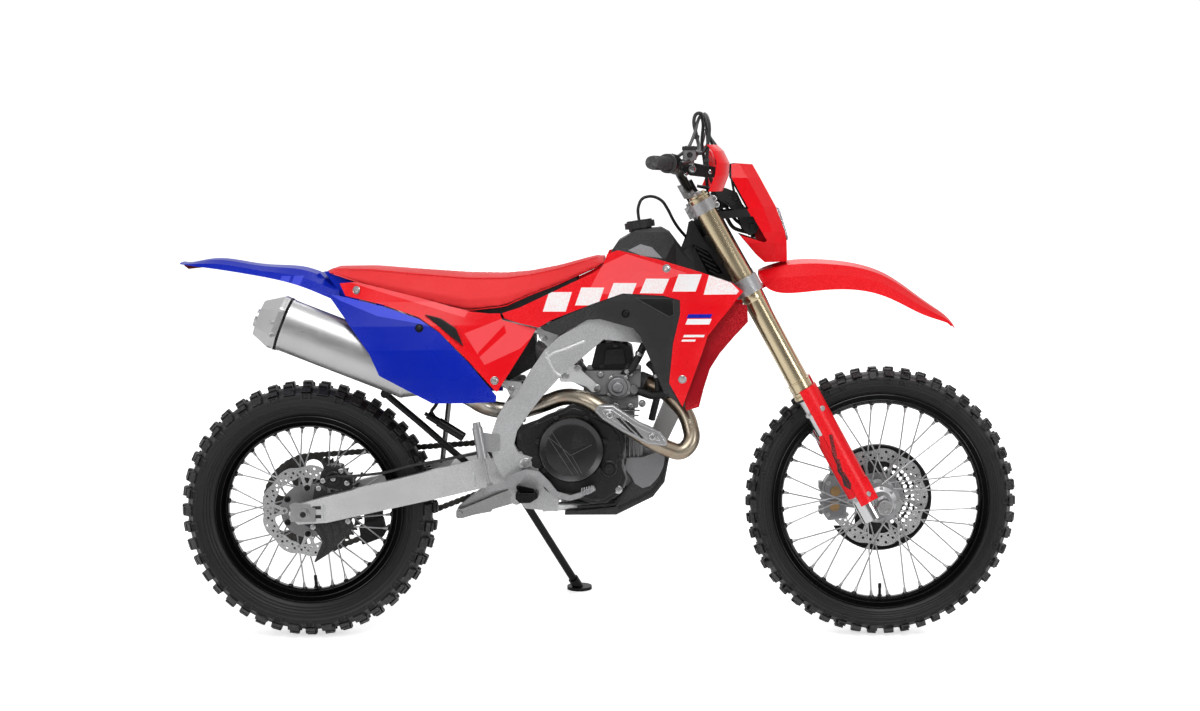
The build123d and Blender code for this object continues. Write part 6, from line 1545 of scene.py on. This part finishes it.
# ---------------------------------------------------------------- controls
@base
class MOTORCYCLE_OT_controls(Operator):
    """Housings and guard arms on the bar, reservoir, hoses, and the headlamp's carrier and wires"""

    bl_idname = "motorcycle.controls"
    bl_label = "Controls and headlamp"

    def execute(self, context):
        bar = Vector((24, 116, -17)).normalized()
        d = Draft()
        for side in (-1, 1):
            way = Vector((bar.x, bar.y * -side, bar.z))
            middle = Vector((940, side * 284, 1224))
            d.lathe([(-19, 15), (-19, 21), (-15, 23), (5, 23), (8, 20), (26, 20), (29, 16)], middle, way, 40)
            d.prism([(944, 1236), (966, 1240), (972, 1226), (962, 1212), (940, 1214)], side * 256, side * 280)
            d.prism([(926, 1240), (946, 1250), (966, 1244), (962, 1232), (930, 1230)], side * 262, side * 288)
            arm = [
                (973, 1225), (991, 1228), (1056, 1215), (1070, 1205), (1072, 1190), (1038, 1189), (991, 1195),
                (971, 1204)
            ]
            d.prism(arm, side * 246, side * 254)
            d.lathe([(-7, 17), (7, 17), (7, 12)], (952, side * 243, 1219), way, 32)
        d.finish("bar_controls", "steering", "engine black", "black_plastic", bevel=1.6)
        d = Draft()
        d.prism([(972, 1234), (974, 1259), (1004, 1259), (1006, 1236), (992, 1230)], -298, -262)
        d.prism([(986, 1222), (1000, 1222), (1000, 1236), (986, 1236)], -292, -268)
        d.finish("brake_reservoir", "steering", "cast alloy", "cast_alloy", bevel=2.0)
        d = Draft()
        d.prism([(970, 1258), (971, 1267), (1007, 1267), (1008, 1258)], -300, -260)
        d.lathe([(0, 7), (2, 7), (2, 5.4), (1, 5.2), (1, 0.01)], (989, -298, 1246), RIGHT, 28)
        d.finish("reservoir_lid", "steering", "grey plastic", "black_plastic", bevel=1.2)
        d = Draft()
        for side in (-1, 1):
            d.lathe([(0, 11), (2, 11), (5, 9.5), (5, 0.01)], (996, side * 254, 1211), (0, side, 0), 36)
            d.bolt((996, side * 258, 1211), (0, side, 0), 5.5, 4)
            for x, z in ((980, 1198), (1040, 1204), (1060, 1202)):
                d.bolt((x, side * 254, z), (0, side, 0), 3.4, 3, 5)
        for x in (982, 997):
            d.bolt((x, -280, 1266), UP, 3, 2.5, 4)
        d.finish("control_bolts", "steering", "slider chrome", "chrome")
        d = Draft()
        routes = [
            [
                (1002, -262, 1240), (1014, -170, 1258), (1010, -110, 1290), (1003, -76, 1325),
                (1007, -60, 1346), (1019, -54, 1351), (1030, -48, 1340), (1037, -44, 1308), (1039, -42, 1270),
                (1036, -40, 1232), (1044, -38, 1190), (1062, -34, 1150), (1072, -30, 1110)
            ],
            [
                (952, -262, 1236), (985, -200, 1262), (1004, -120, 1300), (1012, -70, 1328), (1021, -50, 1344),
                (1027, -40, 1322), (1024, -30, 1276), (1030, -26, 1230), (1036, -24, 1180), (1040, -20, 1140)
            ],
        ]
        for route, r in zip(routes, (4.6, 4.2)):
            d.sweep(route, r, 12, 8)
        for i, way in ((2, (0.1, 0.4, 0.9)), (7, (0.1, 0, -1)), (9, (0.1, 0, -1))):
            d.lathe([(-4, 6.4), (4, 6.4)], routes[0][i], way, 16)
        d.finish("bar_hoses", "steering", "hose rubber", "hose_rubber")
        self.headlamp()
        return {"FINISHED"}

    def headlamp(self):
        out = Vector((0.957, 0, 0.29))
        d = Draft()
        d.lathe(
            [(-14, 40), (-22, 42), (-40, 38), (-58, 26), (-66, 14), (-78, 13), (-78, 0.01)],
            Vector((1222, 0, 1066)), out, 40
        )
        carrier = [
            (1052, 1160), (1086, 1160), (1112, 1150), (1126, 1120), (1150, 1092), (1168, 1062), (1160, 1046),
            (1142, 1040), (1126, 1056), (1112, 1096), (1086, 1118), (1066, 1130)
        ]
        window = [(1080, 1130), (1102, 1112), (1112, 1122), (1096, 1142)]
        for low, high in ((-62, -57), (57, 62)):
            d.prism(carrier, low, high)
        d.prism([(1146, 1078), (1162, 1070), (1156, 1052), (1140, 1058)], -58, 58)
        d.prism([(1082, 1136), (1096, 1144), (1104, 1132), (1090, 1124)], -58, 58)
        for low, high in ((-64, -61), (61, 64)):
            d.prism(window, low, high)
        for x, z in ((1107, 1137), (1150, 1062)):
            for side in (-1, 1):
                d.lathe([(0, 9), (4, 9), (4, 6.4), (2, 6), (2, 0.01)], (x, side * 62, z), (0, side, 0), 28)
        d.finish("headlamp_carrier", "steering", "black plastic", "black_plastic", bevel=1.0)
        d = Draft()
        for route, r in (
            ([
                (1055, -30, 1165), (1079, -36, 1145), (1110, -40, 1112), (1122, -36, 1078), (1130, -24, 1062),
                (1148, -8, 1052)
            ], 4.6),
            ([
                (1012, -22, 1166), (1043, -26, 1160), (1076, -30, 1132), (1094, -28, 1100), (1112, -20, 1076),
                (1140, -6, 1060)
            ], 3.6),
            ([(1012, 24, 1166), (1046, 26, 1156), (1080, 28, 1122), (1100, 26, 1090), (1136, 10, 1056)], 4.2),
            ([(1050, 8, 1150), (1070, 6, 1112), (1088, 4, 1084), (1106, 2, 1058), (1142, 0, 1046)], 5.0),
        ):
            d.sweep(route, r, 10, 6)
        d.prism([(1054, 1140), (1078, 1140), (1082, 1110), (1062, 1106)], -34, 34)
        d.finish("headlamp_wires", "steering", "hose rubber", "hose_rubber")
        d = Draft()
        for side in (-1, 1):
            d.prism([(960, 1166), (984, 1172), (1006, 1150), (1010, 1136), (978, 1134)], side * 34, side * 60)
        for side in (-1, 1):
            for x, z in ((976, 1160), (996, 1146)):
                d.bolt((x, side * 60, z), (0, side, 0), 4, 3.5, 7)
        d.finish("bar_clamps", "steering", "clamp alloy", "cast_alloy", bevel=1.6)


# ---------------------------------------------------------------- small dark parts of the body
@base
class MOTORCYCLE_OT_trim(Operator):
    """Neck panels, vents, window rims, fender bridge, seat base, silencer stay and disc bolts"""

    bl_idname = "motorcycle.trim"
    bl_label = "Body trim"

    def execute(self, context):
        d = Draft()
        depth = lambda x, z: -57 + max(0, x - 1004) * 0.16
        plate(d, [
            (968, 1000), (984, 1041), (990, 1072), (1000, 1078), (1029, 1028), (1060, 990), (1092, 951),
            (1114, 925), (1048, 922), (985, 940)
        ], 3, depth)
        for i in range(5):
            x, z = 1004 + 9 * i, 1014 - 15 * i
            corners = [(x, z), (x + 36, z - 20), (x + 36, z - 24), (x, z - 4)]
            d.loft([[(u, depth(x, z) + lift, v) for u, v in corners] for lift in (0.5, -3.4)])
        d.mirrored()
        d.finish("neck_panels", "root", "grey plastic", "black_plastic", bevel=0.8)
        d = Draft()
        plate(d, [(1000, 1018), (1038, 1000), (1076, 944), (1040, 938)], 2, lambda x, z: depth(x, z) - 0.8)
        d.mirrored()
        d.finish("neck_grilles", "root", "black rim", "black_plastic")
        d = Draft()
        for side in (-1, 1):
            corners = [(321, 849), (361, 839), (399, 814), (418, 770), (388, 792)]
            where = [Vector((x, side * (139 + (x - 321) * 0.13), z)) for x, z in corners]
            d.loft([[p + Vector((0, side * lift, 0)) for p in where] for lift in (-4, 9.5)])
        d.finish("side_vents", "root", "engine black", "black_plastic", bevel=0.8)
        d = Draft()
        for side in (-1, 1):
            line_on(d, "shroud_covers", dense(COVER_WINDOW), 2.2, side, 8, -0.6, 1)
        d.finish("cover_window_rims", "root", "grey plastic", "black_plastic")
        d = Draft()
        d.prism([(58, 954), (66, 957), (128, 930), (148, 904), (124, 884), (98, 886), (86, 913)], -74, 74)
        d.finish("fender_bridge", "root", "fender blue", "blue_plastic", bevel=2)
        d = Draft()
        d.prism([
            (440, 836), (500, 838), (590, 862), (650, 890), (704, 922), (704, 938), (659, 925), (584, 898),
            (520, 868), (440, 862)
        ], -86, 86)
        d.finish("seat_base", "root", "black plastic", "black_plastic", bevel=2)
        d = Draft()
        stay = [(208, -106, 652), (224, -98, 633), (300, -88, 566), (380, -84, 494), (438, -86, 446)]
        d.sweep(stay, 8.5, 14, 6)
        d.lathe([(0, 11), (12, 11), (12, 7)], (212, -112, 644), (0, 1, 0), 24)
        d.lathe([(-62, 9.5), (-30, 9.5), (-28, 12), (46, 12), (48, 9)], (372, -104, 556), (0.84, 0, -0.53), 28)
        d.lathe([(-70, 5), (-62, 5)], (372, -104, 556), (0.84, 0, -0.53), 14)
        d.sweep([(336, -104, 586), (330, -104, 598), (340, -102, 612), (356, -98, 640)], 4.5, 12, 5)
        d.finish("silencer_stay", "root", "black steel", "black_steel")
        for body, middle, ring, y in (
            ("rear_wheel", REAR_AXLE, 60, -54.6), ("front_wheel", FRONT_AXLE, 56, 55.6)
        ):
            d = Draft(Matrix.Translation(middle))
            for i in range(6):
                turn = 2 * pi * (i + 0.5) / 6
                d.bolt((ring * cos(turn), y, ring * sin(turn)), (0, -1 if y < 0 else 1, 0), 5, 4, 8, True)
            d.finish(body + "_disc_bolts", body, "black steel", "black_steel")
        return {"FINISHED"}


# ---------------------------------------------------------------- settings and panel
def size(kind, name, description, default, low, high, **more):
    return kind(name=name, description=description, default=default, min=low, max=high, **more)


class MotorcycleSizes(PropertyGroup):
    """Sizes that a user would change."""

    lens: size(FloatProperty, "Lens", "Focal length of the camera", 69.8, 20, 200, subtype="DISTANCE_CAMERA")
    front_rows: size(IntProperty, "Front rows", "Rows of blocks round the front tyre", 50, 20, 80)
    rear_rows: size(IntProperty, "Rear rows", "Rows of blocks round the rear tyre", 44, 20, 80)
    front_depth: size(
        FloatProperty, "Front blocks", "Height of the front tyre's blocks in millimetres", 12.5, 3, 20
    )
    rear_depth: size(
        FloatProperty, "Rear blocks", "Height of the rear tyre's blocks in millimetres", 14.5, 3, 22
    )


def colour(name, description, default):
    return FloatVectorProperty(
        name=name, description=description, default=default, subtype="COLOR", size=3, min=0, max=1
    )


class MotorcycleColours(PropertyGroup):
    """Colours that a user would change."""

    red: colour("Red", "Fenders, shrouds, cowl and side panels", (0.78, 0.002, 0.008))
    # The lighter facet colour is a painted highlight on the upper facets of the shrouds and side panels.
    facet_highlight: colour("Facet highlight", "Lighter field on the shrouds and side panels", (0.86, 0.075, 0.085))
    seat: colour("Seat", "Cover of the seat", (0.80, 0.032, 0.036))
    blue: colour("Blue", "Side plates and rear fender", (0.0, 0.014, 0.38))
    stripe: colour("Stripes", "Blocks on the shrouds", (0.86, 0.86, 0.86))
    frame: colour("Frame", "Frame and swingarm", (0.53, 0.535, 0.54))
    gold: colour("Gold", "Outer tubes of the fork", (0.60, 0.50, 0.33))


class MOTORCYCLE_PT_panel(Panel):
    """Every step of making the motorcycle"""

    bl_idname = "MOTORCYCLE_PT_panel"
    bl_label = "Enduro motorcycle"
    bl_space_type = "VIEW_3D"
    bl_region_type = "UI"
    bl_category = "Motorcycle"

    def draw(self, context):
        for group in (context.scene.motorcycle_sizes, context.scene.motorcycle_colours):
            for name in type(group).__annotations__:
                self.layout.prop(group, name)
        for cls in CLASSES:
            self.layout.operator(cls.bl_idname)


def register():
    for cls in CLASSES + [MotorcycleSizes, MotorcycleColours, MOTORCYCLE_PT_panel]:
        bpy.utils.register_class(cls)
    bpy.types.Scene.motorcycle_sizes = PointerProperty(type=MotorcycleSizes)
    bpy.types.Scene.motorcycle_colours = PointerProperty(type=MotorcycleColours)


def unregister():
    del bpy.types.Scene.motorcycle_sizes, bpy.types.Scene.motorcycle_colours
    for cls in reversed(CLASSES + [MotorcycleSizes, MotorcycleColours, MOTORCYCLE_PT_panel]):
        bpy.utils.unregister_class(cls)


def main():
    """Makes the whole scene in order."""
    register()
    for cls in CLASSES:
        step = cls.bl_idname.split(".")[1]
        getattr(bpy.ops.motorcycle, step)()


if __name__ == "__main__":
    main()
